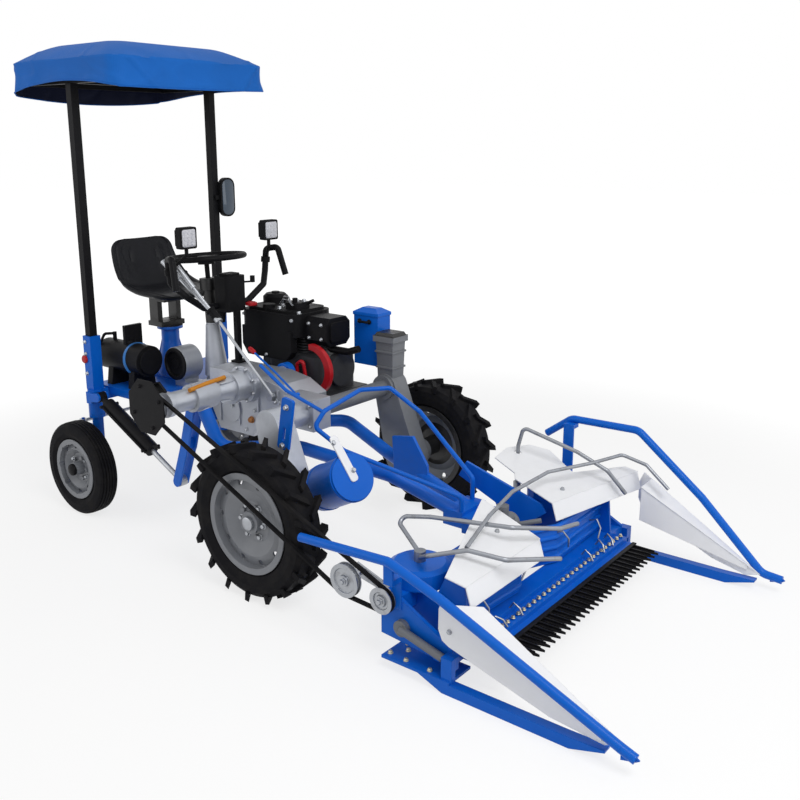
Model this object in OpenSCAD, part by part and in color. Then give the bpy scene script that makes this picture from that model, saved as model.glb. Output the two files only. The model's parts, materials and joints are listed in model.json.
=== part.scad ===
// Ride-on reaper binder: four-wheeled carrier with rear-wheel steering and a front cutter and binder head.
// X points forward, Y to the machine's left and Z up. Lengths are in millimetres.
// Stations along X are measured from the front axle, and place() sets the machine over its origin.

/* [Layout] */
// Distance from the front axle to the rear axle
wheelbase = 1350; // [1320:5:1380]
// Front axle to the tips of the crop dividers
tip_reach = 1712; // [1690:1:1750]
// Front axle to the rear edge of the canopy
canopy_reach = 1800; // [1760:5:1840]
// Distance between the centres of the front wheels
front_track = 1216; // [1200:2:1224]
// Distance between the two king-pins
kingpin_track = 824; // [800:2:840]
// Wheel centre outside its king-pin
scrub = 108; // [100:1:130]

/* [Front wheels] */
// Diameter over the lugs
front_tyre_d = 664; // [650:2:672]
// Width of the front tyre
front_tyre_w = 140; // [130:2:146]
// Seat diameter of the front rim
front_rim_d = 396; // [380:2:410]
// Height of the lugs
lug_h = 24; // [14:1:28]
// Lugs on each half of the tread
lug_count = 17; // [12:1:20]
// Width of one lug
lug_w = 26; // [18:1:30]
// Diameter of the driven stub axle
stub_d = 50; // [40:1:60]

/* [Rear wheels] */
// Diameter of the rear tyre
rear_tyre_d = 470; // [450:2:480]
// Width of the rear tyre
rear_tyre_w = 105; // [95:1:112]
// Seat diameter of the rear rim
rear_rim_d = 276; // [260:2:290]
// Diameter of the rear spindle
spindle_d = 30; // [24:1:36]
// Diameter of the king-pin
kingpin_d = 32; // [26:1:38]
// Length of the steering arms
steer_arm = 130; // [110:1:140]

/* [Carrier frame] */
// Top of the frame rails above the ground
frame_top = 620; // [610:2:640]
// Height of the frame rails
rail_h = 60; // [50:1:64]
// Width of the frame rails
rail_w = 50; // [40:1:60]
// Half distance between the rails
rail_y = 150; // [140:1:170]
// Thickness of the platform plate
platform_t = 6; // [4:0.5:8]
// Half width of the platform
platform_y = 362; // [340:1:366]
// Side of the square post sockets
socket_side = 60; // [54:1:66]
// Height of the post sockets
socket_h = 270; // [240:5:300]

/* [Canopy] */
// Side of the canopy posts
post_side = 40; // [34:1:44]
// Lower edge of the canopy
canopy_base = 2045; // [2020:5:2060]
// Full height of the canopy
canopy_h = 230; // [220:5:260]
// Length of the canopy along the machine
canopy_l = 860; // [800:10:900]
// Width of the canopy
canopy_w = 920; // [880:10:980]
// Thickness of the cloth and its lining
canopy_t = 8; // [6:1:12]

/* [Seat] */
// Height of the seat cushion's top
seat_z = 1085; // [1060:5:1100]
// Width of the seat
seat_w = 430; // [410:5:460]
// Depth of the seat
seat_l = 400; // [360:5:420]
// Height of the backrest above the cushion
back_h = 255; // [240:5:280]
// Thickness of cushion and backrest
seat_t = 40; // [36:1:48]
// Diameter of the seat column
seat_column_d = 92; // [80:2:110]

/* [Drive] */
// Height of the cross drive shaft, which is the head's hinge line
pto_z = 735; // [730:1:745]
// Cross drive shaft behind the front axle
pto_back = 495; // [490:1:505]
// Diameter of the housing where the head hangs on it
pto_land_d = 96; // [90:1:100]
// Diameter of the drive shaft
pto_shaft_d = 30; // [24:1:36]
// Diameter of the drive pulley
pto_pulley_d = 112; // [100:2:124]
// Height of the cross axle tube
axle_tube_z = 670; // [660:1:690]
// Cross axle tube behind the wheel centres
axle_tube_back = 100; // [90:1:110]
// Diameter of the cross axle tube
axle_tube_d = 76; // [66:1:84]
// Middle of the drop cases out from the machine's centre
drop_case_y = 392; // [380:1:400]
// Thickness of the drop cases
drop_case_t = 96; // [84:1:104]

/* [Steering] */
// Diameter of the steering wheel
steering_d = 400; // [360:5:420]
// Height of the steering wheel
steering_z = 1268; // [1250:2:1280]
// Steering wheel behind the front axle
steering_back = 950; // [940:2:960]
// Diameter of the steering column
column_d = 62; // [54:1:70]

/* [Cutter head] */
// Diameter of the divider tubes
divider_tube_d = 34; // [28:1:38]
// Half distance between the divider tubes
divider_y = 720; // [712:1:726]
// Half length of the cutter bar
bar_y = 610; // [580:5:630]
// Front edge of the cutter bar ahead of the front axle
bar_x = 1092; // [1080:2:1110]
// Underside of the cutter bar
bar_z = 84; // [76:1:96]
// Spacing of the fingers
finger_pitch = 38.1; // [36:0.1:50]
// Length of the fingers ahead of the bar
finger_l = 125; // [100:1:140]
// Diameter of the boom tubes
boom_d = 60; // [50:1:66]
// Diameter of the bent rods of the packers
rake_d = 17; // [12:0.5:19]
// Thickness of the sheet-metal shields
sheet_t = 4; // [3:0.5:6]

/* [Binder] */
// Diameter of the twine can
can_d = 190; // [170:2:210]
// Length of the twine can
can_l = 250; // [230:5:270]
// Diameter of the packer crank drums
drum_d = 230; // [200:5:250]
// Width of the drive belt
belt_w = 16; // [12:1:18]
// Thickness of the drive belt
belt_t = 10; // [8:1:12]

/* [Lift strut] */
// Diameter of the strut's sleeve
strut_d = 66; // [56:1:72]
// Diameter of the strut's rod
strut_rod_d = 24; // [18:1:28]
// Diameter of the pins at its two ends
strut_pin_d = 20; // [16:1:24]

/* [Hidden] */
$fn = 48;

BLUE = [0.02, 0.16, 0.55];
WHITE = [0.92, 0.92, 0.9];
SILVER = [0.62, 0.63, 0.64];
GREY = [0.42, 0.43, 0.44];
BLACK = [0.03, 0.03, 0.03];
RUBBER = [0.02, 0.02, 0.02];
RED = [0.6, 0.02, 0.04];

// Clearances: running fit, seat of a still piece, and room beside a moving one
fit = 0.05;
seat_gap = 0.2;
side_gap = 0.3;
// Small overlap that makes joined solids one, and the reach of a cut past a face
bite = 1;
// A bend is this much thicker all round than its straight tube
bend_swell = 0.3;

mid_x = (tip_reach - canopy_reach) / 2;
front_y = front_track / 2;
kingpin_y = kingpin_track / 2;
rear_y = kingpin_y + scrub;
front_z = front_tyre_d / 2;
rear_z = rear_tyre_d / 2;
frame_bottom = frame_top - rail_h;
platform_top = frame_top + platform_t;
housing_bottom = 490;
housing_d = 80;
kingpin_top = frame_top - 20;
pto_x = -pto_back;
axle_x = -axle_tube_back;
case_rear = -762;
case_right = -170;
case_left = 40;
case_top = 770;
case_bottom = 560;
hinge_y = 450;
hinge_half = 62;
left_hinge_y = 76;
belt_y = -688;
strut_top = [100 - wheelbase, -hinge_y, frame_top - 20];
strut_low = [-667, -hinge_y, 299];
strut_eye_play = 3;
steer_arm_z = 400;
steer_arm_t = 16;
tie_rod_t = 20;

// Shapes that several pieces share
function unit(v) = v / norm(v);

module place() { translate([-mid_x, 0, 0]) children(); }

module box(low, high) { translate(low) cube(high - low); }

module rod(p, q, d) { cone(p, q, d, d); }

module cone(p, q, d1, d2) {
  v = q - p;
  translate(p) rotate([0, acos(v.z / norm(v)), atan2(v.y, v.x)]) cylinder(h = norm(v), d1 = d1, d2 = d2);
}

module along_y(x, z, y0, y1, d) { rod([x, y0, z], [x, y1, z], d); }

// A plate across the machine: its outline gives X and Z, and it runs from y0 to y1
module across(y0, y1) {
  translate([0, max(y0, y1), 0]) rotate([90, 0, 0]) linear_extrude(abs(y1 - y0)) children();
}

// A section square to X: its outline gives Y and Z, and it runs from x0 to x1
module lengthwise(x0, x1) {
  translate([x0, 0, 0]) rotate([90, 0, 90]) linear_extrude(x1 - x0) children();
}

module rounded(size, r) {
  translate([r, 0]) square([size.x - 2 * r, size.y]);
  translate([0, r]) square([size.x, size.y - 2 * r]);
  for (x = [r, size.x - r], y = [r, size.y - r]) translate([x, y]) circle(r = r);
}

// A round-ended bar in plan or side view
module link(p, q, d) {
  v = q - p;
  translate(p) rotate(atan2(v.y, v.x)) translate([0, -d / 2]) square([norm(v), d]);
  for (c = [p, q]) translate(c) circle(d = d);
}

// A tube through the given points, bent to radius r at each inner one
module bent_tube(pts, d, r) {
  last = len(pts) - 1;
  way = [for (i = [0:last - 1]) unit(pts[i + 1] - pts[i])];
  turn = [for (i = [0:last]) i == 0 || i == last ? 0 : acos(min(1, way[i - 1] * way[i]))];
  trim = [for (t = turn) r * tan(t / 2)];
  for (i = [0:last - 1])
    rod(pts[i] + way[i] * (i > 0 ? trim[i] - bite : 0),
        pts[i + 1] - way[i] * (i < last - 1 ? trim[i + 1] - bite : 0), d);
  for (i = [1:1:last - 1]) tube_bend(pts[i], way[i - 1], way[i], turn[i], d + 2 * bend_swell, r);
}

module tube_bend(corner, into, out, turn, d, r) {
  hub = corner + unit(out - into) * r / cos(turn / 2);
  u = unit(corner - into * r * tan(turn / 2) - hub);
  w = cross(u, into);
  multmatrix([[u.x, into.x, w.x, hub.x], [u.y, into.y, w.y, hub.y], [u.z, into.z, w.z, hub.z], [0, 0, 0,
      1]])
    rotate_extrude(angle = turn) translate([r, 0]) circle(d = d);
}

// A flat sheet with the given corners on its face, in order round its edge.
// The first two corners and the last set its plane, and a negative thickness lies on the other side of it.
module sheet(p, t) {
  u = unit(p[1] - p[0]);
  n = unit(cross(u, p[len(p) - 1] - p[0]));
  v = cross(n, u);
  o = p[0];
  multmatrix([[u.x, v.x, n.x, o.x], [u.y, v.y, n.y, o.y], [u.z, v.z, n.z, o.z], [0, 0, 0, 1]])
    translate([0, 0, min(0, -t)]) linear_extrude(abs(t)) polygon([for (q = p) [(q - o) * u, (q - o) * v]]);
}

// Height over x, y of the plane through three points
function plane_z(p, x, y) =
  let (n = cross(p[1] - p[0], p[2] - p[0])) p[0].z - (n.x * (x - p[0].x) + n.y * (y - p[0].y)) / n.z;

// A bolt pattern of n places on a circle of radius r
module ring_of(n, r) { for (i = [0:n - 1]) rotate(360 * i / n) translate([r, 0, 0]) children(); }

// Carrier frame
module main_frame() {
  color(BLUE) difference() {
    union() {
      box([-wheelbase - rail_h / 2, -kingpin_y, frame_bottom], [-wheelbase + rail_h / 2, kingpin_y,
          frame_top]);
      for (s = [-1, 1]) {
        translate([-wheelbase, s * kingpin_y, housing_bottom])
          cylinder(h = frame_top - housing_bottom, d = housing_d);
        translate([-wheelbase - socket_side / 2, s * kingpin_y - socket_side / 2, frame_top - bite])
          cube([socket_side, socket_side, socket_h + bite]);
        box([-wheelbase, s * rail_y - rail_w / 2, frame_bottom], [case_rear - 12, s * rail_y + rail_w / 2,
            frame_top]);
      }
      box([case_rear - 14, -rail_y - rail_w / 2, frame_bottom - 60], [case_rear, rail_y + rail_w / 2,
          frame_top]);
      box([-1000, -rail_y, frame_bottom], [-960, rail_y, frame_top]);
      strut_bracket();
    }
    for (s = [-1, 1]) {
      translate([-wheelbase, s * kingpin_y, housing_bottom - bite])
        cylinder(h = kingpin_top - housing_bottom + bite, d = kingpin_d + 2 * fit);
      translate([-wheelbase - post_side / 2 - seat_gap, s * kingpin_y - post_side / 2 - seat_gap,
          frame_top + 20])
        cube([post_side + 2 * seat_gap, post_side + 2 * seat_gap, socket_h]);
    }
  }
}

strut_cheek_y = 18;
strut_cheek_t = 10;

module strut_bracket() {
  a = strut_top;
  box([-wheelbase + 15, a.y - strut_cheek_y - strut_cheek_t, a.z - 40], [a.x - 45, -kingpin_y, a.z + 18]);
  for (s = [-1, 1])
    across(a.y + s * strut_cheek_y, a.y + s * (strut_cheek_y + strut_cheek_t))
      link([a.x - 50, a.z - 8], [a.x, a.z], 44);
  along_y(a.x, a.z, a.y - strut_cheek_y - 2, a.y + strut_cheek_y + 2, strut_pin_d);
}

platform_front = -790;
platform_rear = -1425;
skirt_h = 34;

module platform() {
  color(BLUE) {
    box([platform_rear, -platform_y, frame_top], [platform_front, platform_y, platform_top]);
    for (s = [-1, 1])
      box([-wheelbase + 45, s * platform_y - (s > 0 ? platform_t : 0), frame_top - skirt_h],
          [platform_front, s * platform_y + (s > 0 ? 0 : platform_t), frame_top + bite]);
    box([platform_rear, -platform_y, frame_top - skirt_h], [platform_rear + platform_t, platform_y,
        frame_top + bite]);
    for (i = [0:4], j = [0:5])
      translate([-1040 + 42 * i, -330 + 34 * j, platform_top - bite])
        rotate(45 + 90 * ((i + j) % 2)) translate([-13, -3, 0]) cube([26, 6, 3]);
  }
}

// Canopy: two posts and a light roof frame under a fitted cloth
canopy_rear = -canopy_reach;
canopy_front = canopy_rear + canopy_l;
roof_rail = 24;
roof_inset = 60;
roof_z = canopy_base + 40;
crown_z = canopy_base + canopy_h - canopy_t;
crown_y = 200;

module canopy_frame() {
  color(BLACK) {
    for (s = [-1, 1]) {
      box([-wheelbase - post_side / 2, s * kingpin_y - post_side / 2, frame_top + 20],
          [-wheelbase + post_side / 2, s * kingpin_y + post_side / 2, roof_z]);
      box([canopy_rear + roof_inset, s * kingpin_y - roof_rail / 2, roof_z - bite],
          [canopy_front - roof_inset, s * kingpin_y + roof_rail / 2, roof_z + roof_rail]);
    }
    for (x = [canopy_rear + roof_inset, -wheelbase, canopy_front - roof_inset - roof_rail])
      box([x, -kingpin_y, roof_z], [x + roof_rail, kingpin_y, roof_z + roof_rail]);
    for (y = [-crown_y, crown_y]) {
      box([-wheelbase, y - roof_rail / 2, roof_z], [-wheelbase + roof_rail, y + roof_rail / 2,
          crown_z - side_gap]);
      box([-wheelbase - 190, y - roof_rail / 2, crown_z - roof_rail],
          [-wheelbase + 160, y + roof_rail / 2, crown_z - side_gap]);
    }
  }
}

valance_h = 150;
crown_in_x = 190;
crown_in_y = 135;
// The roof sits this far to the left of the middle
canopy_shift = -10;

module canopy_form(inset) {
  r = 70 - inset;
  hull()
    for (x = [canopy_rear + 70, canopy_front - 70], y = [-1, 1]) {
      translate([x, canopy_shift + y * (canopy_w / 2 - 70), canopy_base - (inset > 0 ? bite : 0)])
        cylinder(h = valance_h - inset, r = r, $fn = 32);
      translate([x + (x < (canopy_rear + canopy_front) / 2 ? 1 : -1) * crown_in_x,
                 canopy_shift + y * (canopy_w / 2 - 70 - crown_in_y), canopy_base + canopy_h - inset - 4])
        cylinder(h = 4, r = r, $fn = 32);
    }
}

module canopy() {
  color(BLUE) difference() {
    canopy_form(0);
    canopy_form(canopy_t);
  }
}

// Driver's seat on its column
seat_back_x = -1440;
seat_pan_z = seat_z - seat_t;
back_lean = 14;

module seat() {
  color(BLACK) {
    translate([seat_back_x, -seat_w / 2, seat_pan_z]) linear_extrude(seat_t) rounded([seat_l, seat_w], 95);
    translate([seat_back_x + seat_t, 0, seat_pan_z + 12]) rotate([0, -back_lean, 0]) translate([-seat_t,
        0, 0])
      lengthwise(0, seat_t) translate([-seat_w / 2, 0]) rounded([seat_w, back_h + seat_t - 12], 110);
    for (s = [-1, 1])
      across(s * (seat_w / 2 - 34), s * (seat_w / 2 - 4))
        polygon([[seat_back_x + 30, seat_pan_z + 10], [seat_back_x + 260, seat_pan_z + 10],
                 [seat_back_x + 240, seat_z + 12], [seat_back_x - 5, seat_z + 150]]);
  }
}

column_x = -1262;

module seat_column() {
  color(BLUE) {
    box([column_x - 90, -80, platform_top], [column_x + 90, 80, platform_top + 10]);
    translate([column_x, 0, platform_top]) cylinder(h = 180, d1 = 152, d2 = seat_column_d);
    translate([column_x, 0, platform_top + 179]) cylinder(h = 76, d = seat_column_d);
    translate([column_x, 0, platform_top + 250]) cylinder(h = 16, d = seat_column_d + 40);
    for (a = [45:90:315])
      translate([column_x, 0, platform_top]) rotate([90, 0, a]) translate([0, 0, -4]) linear_extrude(8)
        polygon([[20, 0], [88, 0], [88, 12], [seat_column_d / 2 - 2, 200], [20, 200]]);
    box([column_x - 80, -74, platform_top + 265], [column_x + 30, 74, platform_top + 290]);
    for (s = [-1, 1])
      box([column_x - 64, s * 60 - 14, platform_top + 289], [column_x + 4, s * 60 + 14, seat_pan_z]);
    box([column_x - 60, -74, seat_pan_z - 22], [column_x + 60, 74, seat_pan_z]);
  }
}

// Gearbox, cross axle and drop cases
boss_t = 110;
clutch_x = -1022;
clutch_z = 746;
clutch_d = 170;

module gearbox() {
  color(SILVER) difference() {
    union() {
      across(case_right, case_left)
        polygon([[case_rear, case_bottom + 30], [-700, 480], [-470, 480], [-430, case_bottom], [-230,
            case_bottom],
                 [-200, case_bottom + 50], [-200, case_top - 70], [-300, case_top - 20], [-420, case_top],
                 [case_rear, case_top]]);
      box([axle_x - 110, case_right - 60, axle_tube_z - 70], [axle_x + 70, case_right + 50,
          axle_tube_z + 70]);
      along_y(axle_x, axle_tube_z, case_right - 60, case_right + 62, 2 * 62);
      along_y(pto_x, pto_z, case_right - 40, case_right + bite, 176);
      along_y(pto_x, pto_z, case_right - boss_t, case_right - 39, 142);
      along_y(pto_x, pto_z, case_left - bite, left_hinge_y + 26, 72);
      along_y(-610, 590, case_right - 10, case_right + bite, 120);
      along_y(-340, 650, case_right - 10, case_right + bite, 110);
      for (x = [-690, -560, -430, -300])
        box([x - 5, case_right - 8, case_bottom - 40], [x + 5, case_right + bite, case_top - 40]);
      translate([column_foot.x, 0, platform_top]) cylinder(h = column_foot.z - platform_top, d = 110);
      box([-960, -60, platform_top], [case_rear + 10, 38, platform_top + 26]);
      box([clutch_x - 45, -138, platform_top], [-950, -50, platform_top + 26]);
      box([clutch_x - 30, -138, platform_top], [clutch_x + 30, -50, clutch_z]);
      along_y(clutch_x, clutch_z, -165, -62, clutch_d);
    }
    along_y(clutch_x, clutch_z, -166, -125, clutch_d - 44);
    along_y(pto_x, pto_z, case_right - boss_t - bite, case_right + 40, pto_shaft_d + 4);
  }
}

axle_left = drop_case_y - drop_case_t / 2;

module axle_tube() {
  color(GREY) {
    along_y(axle_x, axle_tube_z, case_right + 62, axle_left, axle_tube_d);
    along_y(axle_x, axle_tube_z, axle_left - 18, axle_left, axle_tube_d + 44);
  }
}

case_low_d = 190;
case_high_d = 130;
hub_d = 124;
hub_end = front_y - 98;

// Drop case profile between the cross axle and the wheel hub
module drop_profile() {
  dx = -axle_x;
  dz = axle_tube_z - front_z;
  lean = atan2(dx, dz);
  translate([0, front_z]) circle(d = case_low_d);
  translate([axle_x, axle_tube_z]) circle(d = case_high_d);
  translate([0, front_z]) rotate(lean)
    polygon([[-case_low_d / 2, 0], [case_low_d / 2, 0],
             [case_high_d / 2, norm([dx, dz])], [-case_high_d / 2, norm([dx, dz])]]);
}

module drop_case(s) {
  inner = drop_case_y - drop_case_t / 2;
  outer = drop_case_y + drop_case_t / 2;
  difference() {
    union() {
      across(s * inner, s * outer) drop_profile();
      along_y(0, front_z, s * (outer - bite), s * hub_end, hub_d);
      along_y(0, front_z, s * (inner - 22), s * (inner + bite), case_low_d - 40);
    }
    along_y(0, front_z, s * (inner + 10), s * (hub_end + bite), stub_d + 2 * fit);
  }
}

tower_top = 925;
tower_w = 104;

module drop_case_left() {
  color(GREY) {
    drop_case(1);
    translate([axle_x, drop_case_y, 0]) {
      translate([0, 0, axle_tube_z]) linear_extrude(tower_top - axle_tube_z, scale = 1.22) square([86,
          82], center = true);
      for (z = [92, 168]) {
        grow = 1 + 0.22 * z / (tower_top - axle_tube_z);
        translate([0, 0, axle_tube_z + z]) linear_extrude(9) square([86 * grow + 12, 82 * grow + 12],
            center = true);
      }
      translate([0, 0, tower_top - 34]) linear_extrude(30) square([tower_w + 20, drop_case_t + 20],
          center = true);
      translate([0, 0, tower_top - 5]) linear_extrude(16, scale = 0.86) square([tower_w + 8,
          drop_case_t + 8], center = true);
    }
  }
}

module drop_case_right() {
  color(GREY) {
    drop_case(-1);
    along_y(axle_x, axle_tube_z, case_right - 60, -axle_left - bite, axle_tube_d + 24);
  }
}

// Cross drive: tapered housing, shaft with pulley, and its guard
housing_end = -648;

module pto_housing() {
  color(SILVER) difference() {
    union() {
      along_y(pto_x, pto_z, case_right - boss_t - 14, case_right - boss_t, 150);
      translate([pto_x, -hinge_y + hinge_half + 14, pto_z]) rotate([-90, 0, 0])
        cylinder(h = hinge_y - hinge_half - 28 + case_right - boss_t + 1, d1 = pto_land_d + 8, d2 = 122);
      along_y(pto_x, pto_z, -hinge_y + hinge_half + 15, -hinge_y + hinge_half + side_gap, pto_land_d + 8);
      along_y(pto_x, pto_z, -hinge_y + hinge_half + 1, housing_end, pto_land_d);
      along_y(pto_x, pto_z, housing_end + 26, housing_end, pto_land_d + 14);
      for (a = [0:90:270])
        translate([pto_x, -hinge_y + hinge_half + 15, pto_z]) rotate([0, 45 + a, 0]) translate([-3, 0,
            0]) cube([6, 76, 64]);
    }
    along_y(pto_x, pto_z, case_right, housing_end - bite, pto_shaft_d + 2 * seat_gap);
  }
}

module pto_pulley() {
  color(GREY) {
    along_y(pto_x, pto_z, case_right + 20, belt_y - belt_w, pto_shaft_d);
    grooved_pulley(pto_x, pto_z, pto_pulley_d);
  }
}

// A belt pulley across the machine in the belt's plane
web_rim = 16;
web_deep = 6;

module grooved_pulley(x, z, d) {
  groove = belt_w / 2 + 0.5;
  flange = groove + 4;
  translate([x, belt_y, z]) rotate([90, 0, 0]) rotate_extrude()
    polygon([[0, -flange], [d / 2, -flange], [d / 2, -groove], [d / 2 - belt_t, -groove],
             [d / 2 - belt_t, groove], [d / 2, groove], [d / 2, flange], [d / 2 - web_rim, flange],
             [d / 2 - web_rim - 3, flange - web_deep], [23, flange - web_deep],
             [20, flange + 3], [0, flange + 3]]);
}

guard_y = -726;
guard_t = 4;
guard_d = 250;

module pto_guard() {
  color(BLACK) difference() {
    union() {
      across(guard_y, guard_y + guard_t) translate([pto_x - 22,
          pto_z + 6]) rotate(22.5) circle(d = guard_d, $fn = 8);
      across(housing_end, guard_y + guard_t - bite)
        polygon([[pto_x - 92, pto_z + 62], [pto_x - 40, pto_z + 96], [pto_x - 40, pto_z + 90],
            [pto_x - 88, pto_z + 58]]);
      across(housing_end, housing_end + 12)
        polygon([[pto_x - 92, pto_z + 62], [pto_x - 40, pto_z + 96], [pto_x + 6, pto_z + 60], [pto_x,
            pto_z + 44],
                 [pto_x - 40, pto_z + 30]]);
    }
    along_y(pto_x, pto_z, housing_end - bite, housing_end + 30, pto_land_d + 14 + 2 * seat_gap);
  }
}

tool_l = 150;
tool_w = 96;
tool_h = 280;
tool_z = 756;

module tool_box() {
  color(BLUE) {
    translate([axle_x - tower_w / 2 - 12 - tool_l, drop_case_y - tool_w / 2 + 30, tool_z]) {
      cube([tool_l, tool_w, tool_h - 30]);
      translate([-4, -4, tool_h - 36]) cube([tool_l + 8, tool_w + 8, 14]);
      hull() {
        translate([-4, -4, tool_h - 23]) cube([tool_l + 8, tool_w + 8, 2]);
        translate([34, 26, tool_h - 2]) cube([tool_l - 68, tool_w - 52, 2]);
      }
    }
    box([axle_x - tower_w / 2 - 13, drop_case_y - 20, tool_z + 40],
        [axle_x - 49, drop_case_y + 20, tool_z + 70]);
  }
}

// Steering
column_foot = [-905, 0, platform_top + 40];
column_head = [-steering_back, 0, steering_z];
column_way = unit(column_head - column_foot);
column_top = 0.83;
steering_shaft_d = 24;

module steering_column() {
  head = column_foot + (column_head - column_foot) * column_top;
  color(SILVER) difference() {
    union() {
      rod(column_foot + column_way * 10, head, column_d);
      cone(column_foot + column_way * 16, column_foot + column_way * 270, 120, column_d + 6);
      rod(head - column_way * 60, head, column_d + 24);
      translate(column_foot) cylinder(h = 20, d = column_d + 40);
    }
    rod(column_foot + column_way * 200, head + column_way * bite, steering_shaft_d + 2 * fit);
  }
}

module steering_wheel() {
  rim_d = 28;
  color(BLACK) {
    rod(column_foot + column_way * 210, column_head, steering_shaft_d);
    translate(column_head) rotate([0, acos(column_way.z) * (column_way.x < 0 ? -1 : 1), 0]) {
      rotate_extrude() translate([steering_d / 2 - rim_d / 2, 0]) circle(d = rim_d);
      translate([0, 0, -34]) cylinder(h = 40, d = 84);
      ring_of(3, 0) translate([30, -14, -12]) cube([steering_d / 2 - rim_d - 20, 28, 12]);
    }
  }
}

console_x = -786;
console_l = 100;
console_w = 124;
console_low = 1020;
console_top = 1192;

module console() {
  color(BLACK) {
    translate([console_x - console_l / 2, -console_w / 2, console_low])
      linear_extrude(console_top - console_low) rounded([console_l, console_w], 18);
    translate([console_x - console_l / 2 + 16, -console_w / 2 + 20, console_top - bite])
      linear_extrude(12) rounded([console_l - 32, console_w - 40], 12);
    box([console_x + 32, -14, case_top], [console_x + 58, 12, console_low + bite]);
    box([console_x + 26, -34, case_top], [console_x + 84, 30, case_top + 10]);
    rod([console_x - 10, 30, console_top - 40], [console_x + 70, 96, console_top - 34], 9);
    rod([console_x + 64, 91, console_top - 38], [console_x + 64, 91, console_top - 6], 24);
    rod([console_x - 20, -40, console_low + bite], [console_x - 26, -44, console_low - 52], 46);
  }
}

bar_d = 32;
// Upright of the left handlebar, which also carries a lamp
BAR_GRIP = [[-850, 300, 1180], [-850, 312, 1290]];

module handlebars() {
  color(BLACK)
    for (s = [-1, 1])
      bent_tube([[console_x - 30, s * (console_w / 2 + side_gap), 1046], [console_x - 30, s * 140, 1046],
                 [-812, s * 250, 1118], [-850, s * BAR_GRIP[0].y, BAR_GRIP[0].z], [-850,
                     s * BAR_GRIP[1].y, BAR_GRIP[1].z],
                 [-790, s * 335, 1300], [-752, s * 350, 1160]], bar_d, 22);
}

lamp_w = 96;
lamp_h = 100;
lamp_z = 1390;
lamp_x = -815;

module work_lamps() {
  color(BLACK)
    for (y = [-240, 285]) translate([lamp_x, y, lamp_z]) {
      rotate([90, 0, 90]) translate([-lamp_w / 2, -lamp_h / 2, 0]) linear_extrude(34) rounded([lamp_w,
          lamp_h], 10);
      for (i = [-3:3]) translate([-18, i * 12 - 2, -lamp_h / 2 + 14]) cube([20, 4, lamp_h - 28]);
      translate([14, 0, -lamp_h / 2 - 34]) cylinder(h = 36, d = 18);
    }
  color(BLACK) for (y = [-240, 285]) lamp_clamp(y);
}

// Stem from a lamp to a clamp round the handlebar's upright
module lamp_clamp(y) {
  mirrored = [1, y < 0 ? -1 : 1, 1];
  way = unit(BAR_GRIP[1] - BAR_GRIP[0]);
  mid = (BAR_GRIP[0] + BAR_GRIP[1]) / 2;
  scale(mirrored) difference() {
    union() {
      rod([lamp_x + 14, abs(y), lamp_z - lamp_h / 2 - 30], mid, 14);
      rod(mid - way * 14, mid + way * 14, bar_d + 14);
    }
    rod(mid - way * 40, mid + way * 40, bar_d + 2 * seat_gap);
  }
}

// Engine beside the gearbox
engine_y = 285;
engine_base = frame_top;
shroud_z = 900;

module engine_block() {
  color(GREY) {
    box([-745, 112, engine_base - 12], [-300, 455, engine_base + 12]);
    box([-720, case_left, engine_base - 12], [-560, 113, engine_base + 4]);
    translate([-700, 150, engine_base]) linear_extrude(190) rounded([360, 270], 40);
    rod([-702, engine_y, 740], [-748, engine_y, 740], 230);
    rod([-348, engine_y, 740], [-310, engine_y, 740], 170);
    for (i = [0:5])
      translate([-664, 190, 812 + 14 * i]) linear_extrude(7) rounded([190, 190], 30);
    translate([-649, 205, 800]) linear_extrude(shroud_z - side_gap - 800) rounded([160, 160], 30);
  }
}

// Tank and cowl above the engine, with a panel that hangs on its right side
shroud_x = [-838, -460];
shroud_y = [100, 390];
shroud_top = 1012;
panel_low = 786;

module engine_shroud() {
  l = shroud_x[1] - shroud_x[0];
  w = shroud_y[1] - shroud_y[0];
  color(BLACK) {
    translate([shroud_x[0], shroud_y[0], shroud_z]) linear_extrude(shroud_top - shroud_z) rounded([l, w],
        60);
    translate([shroud_x[0], shroud_y[0], shroud_top - bite]) linear_extrude(15) translate([22,
        22]) rounded([l - 44, w - 44], 46);
    across(shroud_y[0], shroud_y[0] + 42)
      polygon([[shroud_x[0] + 20, shroud_z + 30], [shroud_x[0] + 20, panel_low + 50], [shroud_x[0] + 56,
          panel_low],
               [shroud_x[1] - 56, panel_low], [shroud_x[1] - 20, panel_low + 40], [shroud_x[1] - 20,
                   shroud_z + 30]]);
    translate([-672, 150, shroud_top]) cylinder(h = 32, d = 62);
    translate([-770, 292, shroud_top]) {
      cylinder(h = 44, d = 128);
      translate([0, 0, 43]) cylinder(h = 16, d1 = 128, d2 = 96);
      translate([0, 0, 58]) cylinder(h = 9, d = 40);
    }
    translate([-585, 170, shroud_top]) linear_extrude(46) rounded([84, 96], 14);
    translate([-543, 200, shroud_top + 45]) cylinder(h = 22, d = 26);
    rod([-520, 240, shroud_top + 30], [-476, 262, shroud_top + 54], 16);
  }
}

module engine_muffler() {
  color(BLACK) {
    lengthwise(shroud_x[1] + side_gap, -318)
      polygon([[175, 890], [203, 862], [318, 862], [346, 890], [346, 972], [318, 1000], [203, 1000], [175,
          972]]);
    lengthwise(-319, -306) translate([196, 884]) rounded([130, 94], 18);
    bent_tube([[-370, 250, 872], [-370, 250, 840], [-250, 252, 840], [-186, 258, 862]], 34, 26);
  }
}

guard_x = -372;
guard_z = 758;

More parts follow.
